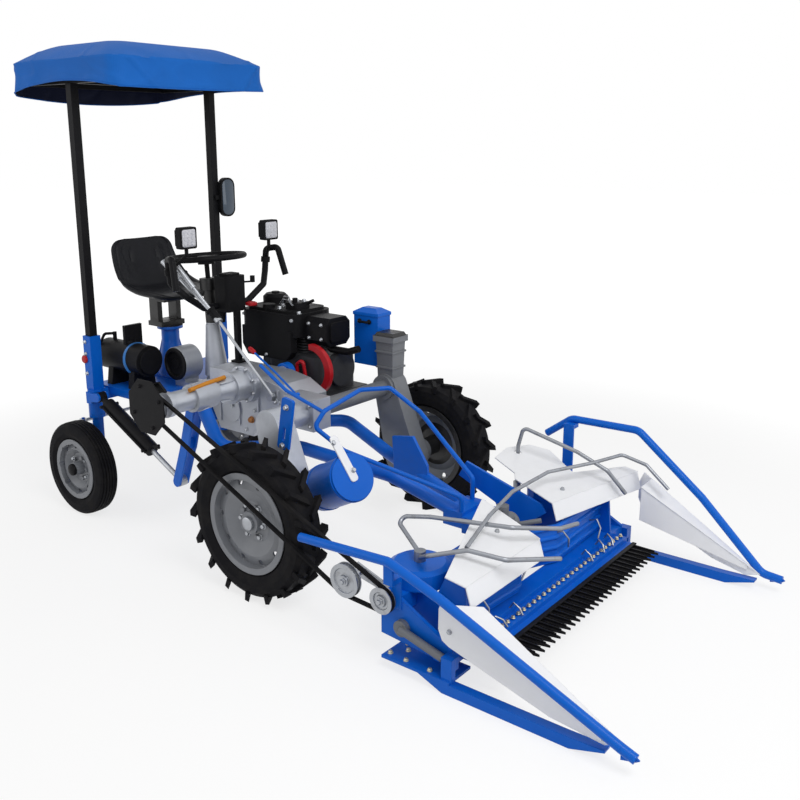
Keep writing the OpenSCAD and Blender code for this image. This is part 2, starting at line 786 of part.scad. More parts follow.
module engine_guard() {
  color(RED) {
    across(118, 143) difference() {
      translate([guard_x, guard_z]) circle(d = 250);
      translate([guard_x - 8, guard_z]) circle(d = 196);
      translate([guard_x - 200, guard_z - 160]) square([190, 320]);
    }
    box([guard_x - 14, 116, engine_base + 12], [guard_x + 26, 145, 664]);
    bent_tube([[guard_x - 100, 130, engine_base + 12], [guard_x - 100, 130, 770], [guard_x - 60, 130, 800],
               [guard_x - 46, 130, 720]], 18, 16);
  }
}

tank_x0 = -1432;
tank_x1 = -1100;
tank_y = -262;
tank_d = 156;
tank_z = platform_top + 62 + tank_d / 2;

module rear_tank() {
  color(BLACK) {
    rod([tank_x0, tank_y, tank_z], [tank_x1, tank_y, tank_z], tank_d);
    rod([tank_x1 - bite, tank_y, tank_z], [tank_x1 + 14, tank_y, tank_z], tank_d - 30);
    for (x = [tank_x0 + 70, tank_x1 - 90])
      lengthwise(x, x + 40)
        polygon([[tank_y - 70, platform_top], [tank_y + 70, platform_top], [tank_y + 50, tank_z],
            [tank_y - 50, tank_z]]);
    translate([tank_x0 + 190, tank_y, tank_z + tank_d / 2 - 4]) cylinder(h = 16, d = 50);
    box([-1256, -296, tank_z], [-1238, -194, tank_z + 166]);
    rod([tank_x0 + 60, tank_y, tank_z + 60], [tank_x0 + 60, tank_y, tank_z + 116], 20);
    bent_tube([[tank_x0 + 60, tank_y, tank_z + 108], [tank_x0 + 30, tank_y - 40, tank_z + 108],
               [tank_x0 + 16, tank_y - 58, tank_z + 60], [tank_x0 + 22, tank_y - 40, tank_z + 20]], 14, 16);
  }
}

lever_knee = [-671, -200, 1036];
lever_foot = [-312, -196, 712];
// Hand ends of the two levers
LEVER_ENDS = [[-984, -236, 1267], [-861, -252, 1254]];

module control_levers() {
  color(SILVER) {
    for (end = LEVER_ENDS) {
      rod(lever_knee, end, 15);
      rod(end - unit(end - lever_knee) * 130, end, 26);
    }
    rod(lever_knee + unit(lever_knee - lever_foot) * 26, lever_knee - unit(lever_knee - lever_foot) * 40,
        34);
    rod(lever_knee, lever_foot, 14);
    along_y(lever_foot.x - 12, lever_foot.z - 10, lever_foot.y - 10, case_right - 10 - seat_gap, 38);
  }
}

mirror_z = 1525;
mirror_out = 44;

module mirror() {
  color(BLACK) translate([-wheelbase + post_side / 2, kingpin_y, 0]) {
    translate([0, 20 + mirror_out, mirror_z]) rotate([90, 0, 90])
      linear_extrude(26) translate([-50, -105]) rounded([100, 210], 46);
    translate([0, -10, mirror_z - 12]) cube([14, 40 + mirror_out, 24]);
  }
}

// Head: boom tubes that hang from the cross drive
boom_apex = [600, 40, 302];
hanger_low = [-415, -425, 500];

module boom() {
  color(BLUE) difference() {
    union() {
      along_y(pto_x, pto_z, -hinge_y - hinge_half, -hinge_y + hinge_half, pto_land_d + 28);
      bent_tube([[pto_x + 10, -hinge_y, pto_z - 50], hanger_low, [-240, -120, 466], [300, -100, 440],
                 boom_apex + [0, -36, 0]], boom_d, 90);
      along_y(pto_x, pto_z, left_hinge_y - 18, left_hinge_y + 18, 100);
      across(left_hinge_y - 9, left_hinge_y + 9) link([pto_x, pto_z], [-452, 500], 56);
      bent_tube([[-455, left_hinge_y, 500], [-250, 240, 500], [30, 215, 398], boom_apex + [0, 36, 0]],
          boom_d, 90);
      lever();
      box(boom_apex - [70, 90, 34], boom_apex + [24, 90, 34]);
      across(132, 148) polygon([[125, 350], [230, 330], [320, 310], [310, 420], [230, 540], [115, 520]]);
    }
    along_y(pto_x, pto_z, -hinge_y - hinge_half - bite, -hinge_y + hinge_half + bite, pto_land_d + 2 * fit);
    along_y(pto_x, pto_z, left_hinge_y - 20, left_hinge_y + 20, 72 + 2 * fit);
  }
}

// Rear lever of the boom, with the fork and pin that the lift strut pushes
module lever() {
  b = strut_low;
  for (s = [-1, 1])
    across(b.y + s * strut_cheek_y, b.y + s * (strut_cheek_y + strut_cheek_t)) {
      link([pto_x - 40, pto_z - 40], [-600, 480], 50);
      link([-600, 480], [b.x, b.z], 46);
    }
  along_y(b.x, b.z, b.y - strut_cheek_y - 2, b.y + strut_cheek_y + 2, strut_pin_d);
  box([-612, b.y - strut_cheek_y - 2, 470], [-588, b.y + strut_cheek_y + 2, 520]);
}

// Head frame behind the cutter bar
beam_back = 700;
beam_front = 780;
beam_low = 196;
beam_top = 262;
sill_back = 930;
sill_front = 1010;
sill_top = bar_z + 54;
end_y = bar_y + 60;
rib_t = 12;
// Ribs under the shields. Columns: across, rear end of the top edge, foot of the rear slope, front end of
// the top edge
RIBS = [[-560, 930, 868, 980], [-260, 820, 770, 914], [250, 800, 770, 914], [560, 935, 868, 980]];

module head_frame() {
  color(BLUE) {
    box([sill_back, -end_y, bar_z - 6], [sill_front, end_y, sill_top]);
    box([beam_back, -end_y + 6, beam_low], [beam_front, end_y - 6, beam_top]);
    box([boom_apex.x + 24, boom_apex.y - 90, 250], [beam_back + bite, boom_apex.y + 90, 320]);
    for (r = RIBS) head_rib(r[0], r[1], r[2], r[3]);
    for (s = [-1, 1]) {
      across(s * (end_y - 16), s * end_y)
        polygon([[beam_back, beam_top], [beam_front, beam_top], [sill_front, sill_top + 6], [sill_front,
            bar_z - 6],
                 [beam_back, bar_z + 20]]);
      box([upright_x, min(s * (end_y - bite), s * (skid_y - upright_t / 2)), bar_z],
          [upright_x + upright_w, max(s * (end_y - bite), s * (skid_y - upright_t / 2)), bar_z + 46]);
    }
    across(150, 162)
      polygon([[470, 410], [508, 480], [876, 374], [900, 340], [856, 305], [beam_front, beam_top - 10],
               [beam_back, beam_top - 10], [660, 330]]);
    box([590, 400, beam_top - 40], [beam_back + bite, 440, beam_top]);
  }
}

// A rib from the rear beam to the sill, its top edge close under the shield
module head_rib(y, back, foot, front) {
  p = y < 0 ? RIGHT_SHIELD : LEFT_ROOF;
  face = [p[0], p[1], p[3]];
  drop = sheet_t * 1.03 + 0.4;
  toe = front + 26;
  across(y - rib_t / 2, y + rib_t / 2)
    polygon([[beam_back, beam_low + 4], [sill_back + 10, bar_z], [toe, bar_z], [toe, sill_top],
             [front, plane_z(face, front, y) - drop], [back, plane_z(face, back, y) - drop], [foot,
                 beam_top - 4],
             [beam_back, beam_top - 4]]);
}

module cutter_bar() {
  color(BLUE) {
    box([sill_front, -bar_y, bar_z], [bar_x, bar_y, bar_z + 14]);
    box([sill_front, -bar_y, bar_z + 13], [bar_x - 30, bar_y, bar_z + 34]);
    for (y = [-bar_y + finger_pitch / 2:finger_pitch:bar_y - finger_pitch / 2])
      translate([bar_x - 52, y, bar_z + 33]) cylinder(h = 6, d = 14, $fn = 6);
  }
}

finger_t = 16;
leaf_w = finger_pitch - 5;

// Fingers with the knife that runs on them
module fingers() {
  color(BLACK) {
    for (y = [-bar_y + finger_pitch / 2:finger_pitch:bar_y - finger_pitch / 2])
      translate([bar_x, y, bar_z]) {
        linear_extrude(finger_t / 2)
          polygon([[0, -12], [finger_l * 0.3, -leaf_w / 2], [finger_l * 0.55, -leaf_w * 0.42],
                   [finger_l, -1.5], [finger_l, 1.5], [finger_l * 0.55, leaf_w * 0.42],
                   [finger_l * 0.3, leaf_w / 2], [0, 12]]);
        linear_extrude(finger_t) polygon([[0, -6], [finger_l * 0.86, -1.5], [finger_l * 0.86, 1.5], [0, 6]]);
      }
    box([bar_x, -bar_y + 4, bar_z + finger_t - bite], [bar_x + 18, bar_y - 4, bar_z + finger_t + 5]);
  }
}

// Sheet-metal shields over the packers. Corners: front inner, front outer, rear outer, rear inner
RIGHT_SHIELD = [[1040, -140, 372], [1040, -640, 372], [960, -650, 385], [740, -80, 440]];
LEFT_ROOF = [[940, 130, 402], [1060, 690, 402], [1000, 690, 415], [730, 190, 440]];
LEFT_PLANE = [LEFT_ROOF[0], LEFT_ROOF[1], LEFT_ROOF[3]];
// Tongue behind the left roof, over the crank drum: x, y
TONGUE = [[868, 445], [690, 556], [600, 530], [548, 420], [566, 290], [700, 235]];
LEFT_SHIELD = [LEFT_ROOF[0], LEFT_ROOF[1], LEFT_ROOF[2],
               for (q = TONGUE) [q.x, q.y, plane_z(LEFT_PLANE, q.x, q.y)], LEFT_ROOF[3]];
lip_drop = 74;
lip_out = 22;
// The lip's root lies this far inside the sheet's edge, and its ends this far in from the corners
lip_root = [-1, 0, -1.2];
lip_end = 3;

module shield_right() { color(WHITE) folded_shield(RIGHT_SHIELD, -sheet_t); }
module shield_left() {
  color(WHITE) difference() {
    folded_shield(LEFT_SHIELD, sheet_t);
    translate([606, 420, beam_top]) cylinder(h = 400, d = rake_d + 14);
  }
}

module folded_shield(p, t) {
  f = [lip_out, 0, -lip_drop];
  e = unit(p[1] - p[0]) * lip_end;
  sheet(p, t);
  sheet([p[1] - e + lip_root, p[0] + e + lip_root, p[0] + e + f, p[1] - e + f], t);
}

// Divider tube stations along the machine and above the ground, from the rear to the tip
RIGHT_TUBE = [[355, 394], [773, 417], [994, 346], [tip_reach - 62, 80], [tip_reach - 12, 62]];
LEFT_TUBE = [[587, 481], [713, 574], [1040, 580], [1343, 337], [tip_reach - 96, 70], [tip_reach - 12, 62]];
tip_z = 62;

function tube_route(stations, y) = [for (p = stations) [p[0], y, p[1]]];

module divider_tubes() {
  color(BLUE) {
    bent_tube(tube_route(RIGHT_TUBE, -divider_y), divider_tube_d, 60);
    bent_tube(tube_route(LEFT_TUBE, divider_y), divider_tube_d, 60);
    for (s = [-1, 1])
      across(s * divider_y - 3, s * divider_y + 3)
        polygon([[tip_reach - 60, tip_z - 20], [tip_reach - 60, tip_z + 20], [tip_reach - 12, tip_z + 8],
                 [tip_reach, tip_z], [tip_reach - 12, tip_z - 8]]);
    box([RIGHT_TUBE[1][0] - 20, -divider_y, 330], [RIGHT_TUBE[1][0] + 20, -end_y - 2, 350]);
    box([RIGHT_TUBE[1][0] - 20, -end_y - 4, beam_top - 40], [RIGHT_TUBE[1][0] + 20, -end_y, 350]);
    box([RIGHT_TUBE[1][0] - 20, -divider_y - 4, 330], [RIGHT_TUBE[1][0] + 20, -divider_y + 4, 410]);
    box([LEFT_TUBE[0][0] + 110, end_y, beam_top - 40], [LEFT_TUBE[0][0] + 160, end_y + 10, 560]);
    box([LEFT_TUBE[0][0] + 110, end_y, 540], [LEFT_TUBE[0][0] + 160, divider_y, 560]);
  }
}

panel_y = divider_y - divider_tube_d / 2 - bend_swell - side_gap;
skirt_low = 52;
fold_y = bar_y - 10;
shoulder_start = 40;
wall_drop = 150;
wall_short = 60;

// Rear and tip of the panel's top edge, and the fold's start from the rear, along and down
module divider_right() { color(WHITE) divider_panel(-1, RIGHT_TUBE[2], RIGHT_TUBE[3], [91, -50]); }
module divider_left() { color(WHITE) divider_panel(1, [1087, 402], LEFT_TUBE[4], [27, -36]); }

// Outer panel beside the divider tube, a shoulder towards the crop and an inner wall below its fold, each
// rooted inside the other's thickness
module divider_panel(s, rear, tip, fold) {
  top_rear = [rear.x, s * panel_y, rear.y];
  top_tip = [tip.x, s * panel_y, tip.y];
  inward = [0, -s * sheet_t / 2, -sheet_t];
  along = unit(top_tip - top_rear);
  fold_rear = [rear.x + fold.x, s * fold_y, rear.y + fold.y];
  fold_tip = top_tip + inward - along * lip_end;
  wall_root = [0, s * sheet_t / 2, sheet_t / 2];
  wall_rear = fold_rear + wall_root + unit(fold_tip - fold_rear) * lip_end;
  wall_tip = fold_tip + wall_root - unit(fold_tip - fold_rear) * wall_short;
  low_rear = top_rear + [23, 0, -174];
  low_tip = [tip.x - 60, s * panel_y, skirt_low];
  sheet([top_tip, top_rear, top_rear + [-20, 0, -46], top_rear + [-21, 0, -122], top_rear + [-5, 0, -159],
         low_rear, low_rear + (low_tip - low_rear) * 0.67 - [0, 0, 22], low_tip], -s * sheet_t);
  sheet([top_rear + inward + along * shoulder_start, fold_tip, fold_rear], s * sheet_t);
  sheet([wall_rear, wall_tip, wall_tip - [0, 0, 22], wall_rear - [0, 0, wall_drop]], -s * sheet_t);
}

skid_y = 700;
skid_w = 36;
skid_h = 40;
upright_t = 24;
upright_x = 992;
upright_w = 44;
sole_in = 586;

module skids() {
  color(BLUE)
    for (s = [-1, 1]) {
      across(s * skid_y - skid_w / 2, s * skid_y + skid_w / 2)
        polygon([[900, skid_h - 2], [1000, 0], [1480, 0], [1600, 36], [1600, 44], [1460, skid_h],
                 [900, skid_h]]);
      box([738, min(s * sole_in, s * (skid_y + skid_w / 2)), skid_h - bite],
          [1030, max(s * sole_in, s * (skid_y + skid_w / 2)), skid_h + 10]);
      box([upright_x, s * skid_y - upright_t / 2, skid_h - bite],
          [upright_x + upright_w, s * skid_y + upright_t / 2, bar_z + 46]);
    }
}

// Curved throat guides with pressed ridges, between the outer ribs
GUIDE = [[948, -552.6], [972, -170], [880, -20], [960, 150], [948, 552.6]];
guide_low = sill_top + 6;
guide_top = 312;

module throat_guides() {
  z0 = guide_low;
  color(BLUE) {
    translate([0, 0, z0]) linear_extrude(guide_top - z0)
      for (i = [0:len(GUIDE) - 2]) hull() for (p = [GUIDE[i], GUIDE[i + 1]]) translate(p) square([4, 2],
          center = true);
    for (z = [z0 + 24:44:guide_top - 10])
      bent_tube([for (p = GUIDE) [p.x, p.y, z]], 22, 60);
  }
}

module knotter() {
  color(GREY) {
    box([beam_front - 20, -120, beam_top], [858, -20, 372]);
    along_y(824, 336, -150, 10, 80);
    rod([830, -70, 360], [830, -70, 430], 50);
    rod([840, -60, 340], [960, 10, 372], 20);
  }
}

drum_x = 745;
drum_y = 500;
drum_h = 70;
drum_top = beam_top + drum_h;

// Packer arms: bent rods whose forged ends sweep the crop into the throat
module packers() {
  color(SILVER) {
    translate([drum_x, -drum_y, drum_top]) cylinder(h = 40, d = 44);
    bent_tube([[drum_x, -drum_y, drum_top + 26], [546, -398, 420], [702, -378, 450], [997, -275, 450],
        [1106, -108, 418],
               [1103, 36, 388]], rake_d, 24);
    bent_tube([[drum_x, -drum_y - 6, drum_top + 12], [830, -570, 400], [953, -503, 432], [1085, -457,
        416], [1162, -206, 350]],
              rake_d, 24);
    bent_tube([[946, -498, 438], [899, -277, 472], [854, -39, 482], [860, 236, 486], [960, 441, 490],
        [1012, 622, 488],
               [1121, 632, 462], [1231, 619, 380]], rake_d * 0.9, 24);
    bent_tube([[606, 420, beam_top], [606, 420, 500], [628, 424, 588], [882, 450, 520], [1020, 462, 462],
        [1077, 530, 352]],
              rake_d, 24);
    translate([606, 420, beam_top]) cylinder(h = 70, d = 34);
  }
}

module crank_drums() {
  color(BLUE)
    for (s = [-1, 1]) translate([drum_x, s * drum_y, beam_top]) {
      cylinder(h = drum_h - 12, d = drum_d);
      translate([0, 0, drum_h - 13]) cylinder(h = 13, d1 = drum_d, d2 = drum_d - 40);
    }
}

// Belt guide rollers on the head. Columns: ahead of the front axle, above the ground, diameter, inner end
// of its shaft
PULLEYS = [[548, 268, 130, -592], [720, 243, 100, -end_y]];
bracket_y = -588;

module head_pulleys() {
  color(SILVER) {
    for (p = PULLEYS) {
      grooved_pulley(p[0], p[1], p[2]);
      along_y(p[0], p[1], belt_y, p[3], 26);
    }
    across(bracket_y - 8, bracket_y)
      polygon([[524, 240], [524, 296], [640, beam_top - 4], [beam_back, beam_top - 4], [beam_back,
          beam_low + 10]]);
  }
}

// The belt's loop over the drive pulley and both rollers
module belt_outline(grow) {
  hull()
    for (p = concat([[pto_x, pto_z, pto_pulley_d]], PULLEYS)) translate([p[0],
        p[1]]) circle(r = p[2] / 2 + grow);
}

module drive_belt() {
  color(RUBBER) across(belt_y - belt_w / 2, belt_y + belt_w / 2) difference() {
    belt_outline(side_gap);
    belt_outline(side_gap - belt_t);
  }
}

module knife_drive() {
  y = -end_y - 20;
  color(GREY) {
    rod([800, y, 158], [985, y, 112], 30);
    rod([800, y, 158], [800, -end_y, 158], 60);
  }
}

can_front = [340, -400, 532];
can_way = unit([0.86, -0.22, 0.46]);
can_clamp = [84, -108, 450.4];

module twine_can() {
  rear = can_front - can_way * can_l;
  bar = unit([540, 20, -26]);
  color(BLUE) {
    rod(rear, can_front, can_d);
    rod(can_front - can_way * 24, can_front - can_way * 12, can_d + 8);
    rod(rear + can_way * 30, rear + can_way * 42, can_d + 6);
    difference() {
      union() {
        rod(can_clamp - bar * 22, can_clamp + bar * 22, boom_d + 22);
        rod(can_clamp, rear + can_way * 70, 36);
      }
      rod(can_clamp - bar * 60, can_clamp + bar * 60, boom_d + 2 * seat_gap);
    }
  }
}

// Flat tension arm on the can's lid
module twine_arm() {
  lean = acos(can_way.z);
  turn = atan2(can_way.y, can_way.x);
  color(WHITE) translate(can_front) rotate([0, lean, turn]) linear_extrude(6)
    rotate(atan2(-40, -160)) translate([-18, -18]) rounded([200, 36], 14);
}

hoop_foot = boom_apex.z + 34;

module guard_hoop() {
  color(BLUE) {
    bent_tube([[570, 110, hoop_foot], [570, 110, 430], [259, 150, 657], [129, 100, 756], [39, 0, 753],
        [72, -270, 725],
               [60, -320, 665], [160, -250, 564], [612, -38, 400], [612, -38, hoop_foot]], 20, 26);
    bent_tube([[72, -276, 722], [-150, -268, 776], [-330, -246, 858]], 16, 40);
  }
}

// Lift strut between the carrier and the boom's lever
strut_way = unit(strut_low - strut_top);
sleeve_from = 60;
sleeve_to = norm(strut_low - strut_top) - 226;
eye_d = 50;

module strut_sleeve() {
  a = strut_top;
  color(BLACK) difference() {
    union() {
      along_y(a.x, a.z, a.y - strut_cheek_y + side_gap, a.y + strut_cheek_y - side_gap, eye_d);
      rod(a + strut_way * 18, a + strut_way * (sleeve_from + bite), 30);
      rod(a + strut_way * sleeve_from, a + strut_way * sleeve_to, strut_d);
      for (s = [-1, 1])
        rod(a + strut_way * (sleeve_from + 10) + [0, s * 40, 0], a + strut_way * sleeve_to + [0, s * 40,
            0], 12);
      for (t = [sleeve_from + 10, sleeve_to - 16]) strut_collar(a + strut_way * t);
    }
    along_y(a.x, a.z, a.y - 40, a.y + 40, strut_pin_d + 2 * fit);
    rod(a + strut_way * (sleeve_from + 40), a + strut_way * (sleeve_to + bite), strut_rod_d + 2 * fit);
  }
}

module strut_collar(at) {
  rod(at - [0, 50, 0], at + [0, 50, 0], 16);
}

module strut_rod() {
  b = strut_low;
  color(SILVER) difference() {
    union() {
      rod(strut_top + strut_way * 180, b - strut_way * 20, strut_rod_d);
      along_y(b.x, b.z, b.y - strut_cheek_y + side_gap, b.y + strut_cheek_y - side_gap, eye_d);
    }
    along_y(b.x, b.z, b.y - 40, b.y + 40, strut_pin_d + 2 * strut_eye_play);
  }
}

// Steering knuckles and tie rod
module knuckle(s) {
  arm_end = [-wheelbase - steer_arm, s * kingpin_y];
  color(BLUE) translate([-wheelbase, s * kingpin_y, 0]) {
    translate([0, 0, rear_z - 34]) cylinder(h = housing_bottom - side_gap - rear_z + 34, d = 54);
    translate([0, 0, housing_bottom - 16]) cylinder(h = 16 - side_gap, d = housing_d);
    translate([0, 0, housing_bottom - bite]) cylinder(h = kingpin_top - 6 - housing_bottom, d = kingpin_d);
    along_y(0, rear_z, 0, s * (scrub - 52), 50);
    along_y(0, rear_z, 0, s * (scrub + 44), spindle_d);
  }
  color(BLUE) {
    translate([0, 0, steer_arm_z]) linear_extrude(steer_arm_t) link([-wheelbase, s * kingpin_y], arm_end,
        36);
    translate([arm_end.x, arm_end.y, steer_arm_z]) cylinder(h = steer_arm_t + tie_rod_t + 6, d = 16);
  }
}

module tie_rod() {
  z = steer_arm_z + steer_arm_t + side_gap;
  x = -wheelbase - steer_arm;
  color(GREY) difference() {
    union() {
      rod([x, -kingpin_y, z + tie_rod_t / 2], [x, kingpin_y, z + tie_rod_t / 2], tie_rod_t - 2);
      for (s = [-1, 1]) translate([x, s * kingpin_y, z]) cylinder(h = tie_rod_t, d = 38);
    }
    for (s = [-1, 1]) translate([x, s * kingpin_y, z - bite]) cylinder(h = tie_rod_t + 2 * bite,
        d = 16 + 2 * fit);
  }
}

// Wheels, drawn round the Z axis with the outer face up
// One slanted lug on half of the tread, its far corners on the tyre's full radius
module lug_bar(s, w, r) {
  run = w / 2;
  reach = lug_w / 2 + run * 0.42;
  rotate([90, 0, 90]) translate([0, 0,
      r - lug_h - 14]) linear_extrude(sqrt(r * r - reach * reach) - r + lug_h + 14)
    polygon([[-reach, -s * 3], [lug_w - reach, -s * 3], [reach, s * run], [reach - lug_w * 0.9, s * run]]);
}

module tread_tyre() {
  w = front_tyre_w;
  seat_r = front_rim_d / 2;
  r = front_tyre_d / 2;
  base = r - lug_h;
  rotate_extrude()
    polygon([[seat_r, -0.36 * w], [seat_r + 16, -0.36 * w], [seat_r + 24, -0.42 * w], [seat_r + 62,
        -0.48 * w],
             [base - 20, -0.46 * w], [base, -0.36 * w], [base + 4, 0], [base, 0.36 * w], [base - 20,
                 0.46 * w],
             [seat_r + 62, 0.48 * w], [seat_r + 24, 0.42 * w], [seat_r + 16, 0.36 * w], [seat_r,
                 0.36 * w]]);
  for (s = [-1, 1], i = [0:lug_count - 1])
    rotate(360 * (i + (s > 0 ? 0.5 : 0)) / lug_count) lug_bar(s, w, r);
}

module ribbed_tyre() {
  w = rear_tyre_w;
  seat_r = rear_rim_d / 2;
  r = rear_tyre_d / 2;
  rib = 0.13 * w;
  rotate_extrude()
    polygon(concat(
      [[seat_r, 0.36 * w], [seat_r, -0.36 * w], [seat_r + 16, -0.36 * w], [seat_r + 22, -0.42 * w],
          [seat_r + 44, -0.5 * w],
       [r - 18, -0.46 * w], [r - 5, -0.38 * w]],
      [for (k = [-2:2]) each [[r - (abs(k) == 2 ? 2 : 0), (k - 0.34) * 1.1 * rib],
          [r - (abs(k) == 2 ? 2 : 0), (k + 0.34) * 1.1 * rib],
                              [r - 8, (k + 0.42) * 1.1 * rib], [r - 8, (k + 0.58) * 1.1 * rib]]],
      [[r - 5, 0.38 * w], [r - 18, 0.46 * w], [seat_r + 44, 0.5 * w], [seat_r + 22, 0.42 * w],
          [seat_r + 16, 0.36 * w]]
    ));
}

// Dished disc wheel: barrel with flanges, disc and hub
module disc_wheel(seat_d, w, dish, hub_r, hub_low, hub_high, holes) {
  r = seat_d / 2 - seat_gap;
  e = 0.36 * w;
  difference() {
    union() {
      rotate_extrude()
        polygon([[r - 12, -e - 9], [r + 14, -e - 9], [r + 14, -e - 4], [r, -e - 1], [r, e + 1], [r + 14,
            e + 4], [r + 14, e + 9],
                 [r - 12, e + 9]]);
      rotate_extrude()
        polygon([[0, dish], [hub_r + 40, dish], [r * 0.72, dish + 26], [r - 10, dish + 12], [r - 10,
            dish + 4], [r * 0.72, dish + 18],
                 [hub_r + 36, dish - 8], [0, dish - 8]]);
      translate([0, 0, hub_low]) cylinder(h = hub_high - hub_low, r = hub_r);
    }
    ring_of(holes, r * 0.86) translate([0, 0, dish - 40]) cylinder(h = 90, d = 26);
  }
  ring_of(5, hub_r + 20) translate([0, 0, dish - bite]) cylinder(h = 13, d = 22, $fn = 6);
}

module front_rim() {
  disc_wheel(front_rim_d, front_tyre_w, 14, 46, -92, 40, 10);
  translate([0, 0, -front_y + drop_case_y - drop_case_t / 2 + 16])
    cylinder(h = front_y - drop_case_y + drop_case_t / 2, d = stub_d);
}

module rear_rim() {
  difference() {
    disc_wheel(rear_rim_d, rear_tyre_w, 8, 34, -46, 52, 8);
    translate([0, 0, -100]) cylinder(h = 100 + 46, d = spindle_d + 2 * fit);
  }
}

module wheel_at(x, y, z) { translate([x, y, z]) rotate([y > 0 ? -90 : 90, 0, 0]) children(); }

module tyre_front(s) { color(RUBBER) wheel_at(0, s * front_y, front_z) tread_tyre(); }
module tyre_rear(s) { color(RUBBER) wheel_at(-wheelbase, s * rear_y, rear_z) ribbed_tyre(); }
module rim_front(s) { color(SILVER) wheel_at(0, s * front_y, front_z) front_rim(); }
module rim_rear(s) { color(SILVER) wheel_at(-wheelbase, s * rear_y, rear_z) rear_rim(); }

place() main_frame();
place() platform();
place() canopy_frame();
place() canopy();
place() seat();
place() seat_column();
place() gearbox();
place() axle_tube();
place() drop_case_left();
place() drop_case_right();
place() pto_housing();
place() pto_pulley();
place() pto_guard();
place() tool_box();
place() steering_column();
place() console();
place() handlebars();
place() work_lamps();
place() engine_block();
place() engine_shroud();
place() engine_muffler();
place() engine_guard();
place() rear_tank();
place() control_levers();
place() mirror();
place() steering_wheel();
place() boom();
place() head_frame();
place() cutter_bar();
place() fingers();
place() shield_right();
place() shield_left();
place() divider_right();
place() divider_left();
place() divider_tubes();
place() skids();
place() throat_guides();
place() knotter();
place() packers();
place() crank_drums();
place() head_pulleys();
place() drive_belt();
place() knife_drive();
place() twine_can();
place() twine_arm();
place() guard_hoop();
place() strut_sleeve();
place() strut_rod();
place() knuckle(-1);  // knuckle_right
place() knuckle(1);  // knuckle_left
place() tie_rod();
place() tyre_front(-1);  // tyre_front_right
place() tyre_front(1);  // tyre_front_left
place() tyre_rear(-1);  // tyre_rear_right
place() tyre_rear(1);  // tyre_rear_left
place() rim_front(-1);  // rim_front_right
place() rim_front(1);  // rim_front_left
place() rim_rear(-1);  // rim_rear_right
place() rim_rear(1);  // rim_rear_left
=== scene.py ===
"""Studio looks of a ride-on reaper binder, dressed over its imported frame.

The frame brings every rigid piece at its place. The classes below give each one its finish and add the
cloth canopy, the moulded seat, lenses, fasteners and trim, each riding on the body that carries it.
Lengths are in metres, and spots in millimetres. X points forward, Y to the machine's left and Z up.
"""

import json
import logging
import math
from collections.abc import Sequence
from dataclasses import KW_ONLY, dataclass, field
from enum import Enum

import bpy
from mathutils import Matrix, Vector, noise


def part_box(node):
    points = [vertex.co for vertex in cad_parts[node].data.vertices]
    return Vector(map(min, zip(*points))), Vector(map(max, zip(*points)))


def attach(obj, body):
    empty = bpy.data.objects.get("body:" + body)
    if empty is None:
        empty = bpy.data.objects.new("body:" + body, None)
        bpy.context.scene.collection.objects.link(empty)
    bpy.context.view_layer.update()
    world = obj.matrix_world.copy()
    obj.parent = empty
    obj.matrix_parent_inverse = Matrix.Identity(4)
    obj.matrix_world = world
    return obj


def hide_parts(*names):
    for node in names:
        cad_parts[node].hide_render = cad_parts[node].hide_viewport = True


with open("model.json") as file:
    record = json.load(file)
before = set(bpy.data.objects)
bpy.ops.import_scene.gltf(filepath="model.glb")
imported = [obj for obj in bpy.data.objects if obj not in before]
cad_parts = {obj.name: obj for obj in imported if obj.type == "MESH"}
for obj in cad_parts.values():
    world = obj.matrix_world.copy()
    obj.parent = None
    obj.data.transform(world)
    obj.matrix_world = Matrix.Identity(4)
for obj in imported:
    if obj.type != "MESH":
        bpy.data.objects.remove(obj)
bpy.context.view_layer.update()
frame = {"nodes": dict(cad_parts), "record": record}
log = logging.getLogger("reaper_binder")

Pair = tuple[float, float]
Triple = tuple[float, float, float]
Colour = Triple
Point = Vector | Sequence[float]
Profile = Sequence[Pair]
Owner = bpy.types.Material | bpy.types.World
# A spot is given in millimetres from the front axle, the middle plane and the ground
Spot = Triple
Run = tuple[Spot, ...]

MM = 0.001
# The front axle lies this far ahead of the frame's origin
AXLE_X = 0.044


def at(x: float, y: float, z: float) -> Vector:
    """The point of the frame at a spot."""
    return Vector((x * MM + AXLE_X, y * MM, z * MM))


def points_of(run: Run) -> list[Vector]:
    """The points of the frame along a run of spots."""
    return [at(*spot) for spot in run]


def beside(y: float, *places: Pair) -> Run:
    """Spots at one distance from the middle plane, from their x and z."""
    return tuple((x, y, z) for x, z in places)


def over(z: float, *places: Pair) -> Run:
    """Spots at one height, from their x and y."""
    return tuple((x, y, z) for x, y in places)


def circle(centre: Spot, radius: float, count: int, first: float = 0.0) -> Run:
    """Spots spaced evenly round a circle that faces sideways.

    Args:
        centre: its middle.
        radius: its radius in millimetres.
        count: spots in all.
        first: the first spot's angle in radians.

    Returns:
        The spots.
    """
    x, y, z = centre
    turns = [math.tau * i / count + first for i in range(count)]
    return tuple((x + radius * math.cos(turn), y, z + radius * math.sin(turn)) for turn in turns)


def ramp(value: float, length: float) -> float:
    """0 below zero, 1 above a length and straight between them."""
    return min(1.0, max(0.0, value / length))


def hump(value: float, width: float) -> float:
    """A bell that is 1 at zero and dies away over a width."""
    return math.exp(-(value / width) ** 2)


def tint(red: int, green: int, blue: int) -> Colour:
    """A linear colour from the values that it should show on screen, by the sRGB display curve.

    Args:
        red: the red channel, from 0 to 255 like the others.
        green: the green channel.
        blue: the blue channel.

    Returns:
        The colour.
    """
    shares = [value / 255 for value in (red, green, blue)]
    return tuple(share / 12.92 if share <= 0.04045 else ((share + 0.055) / 1.055) ** 2.4
                 for share in shares)


def scaled(colour: Colour, share: float) -> Colour:
    """A colour with each channel taken times a share."""
    return tuple(channel * share for channel in colour)


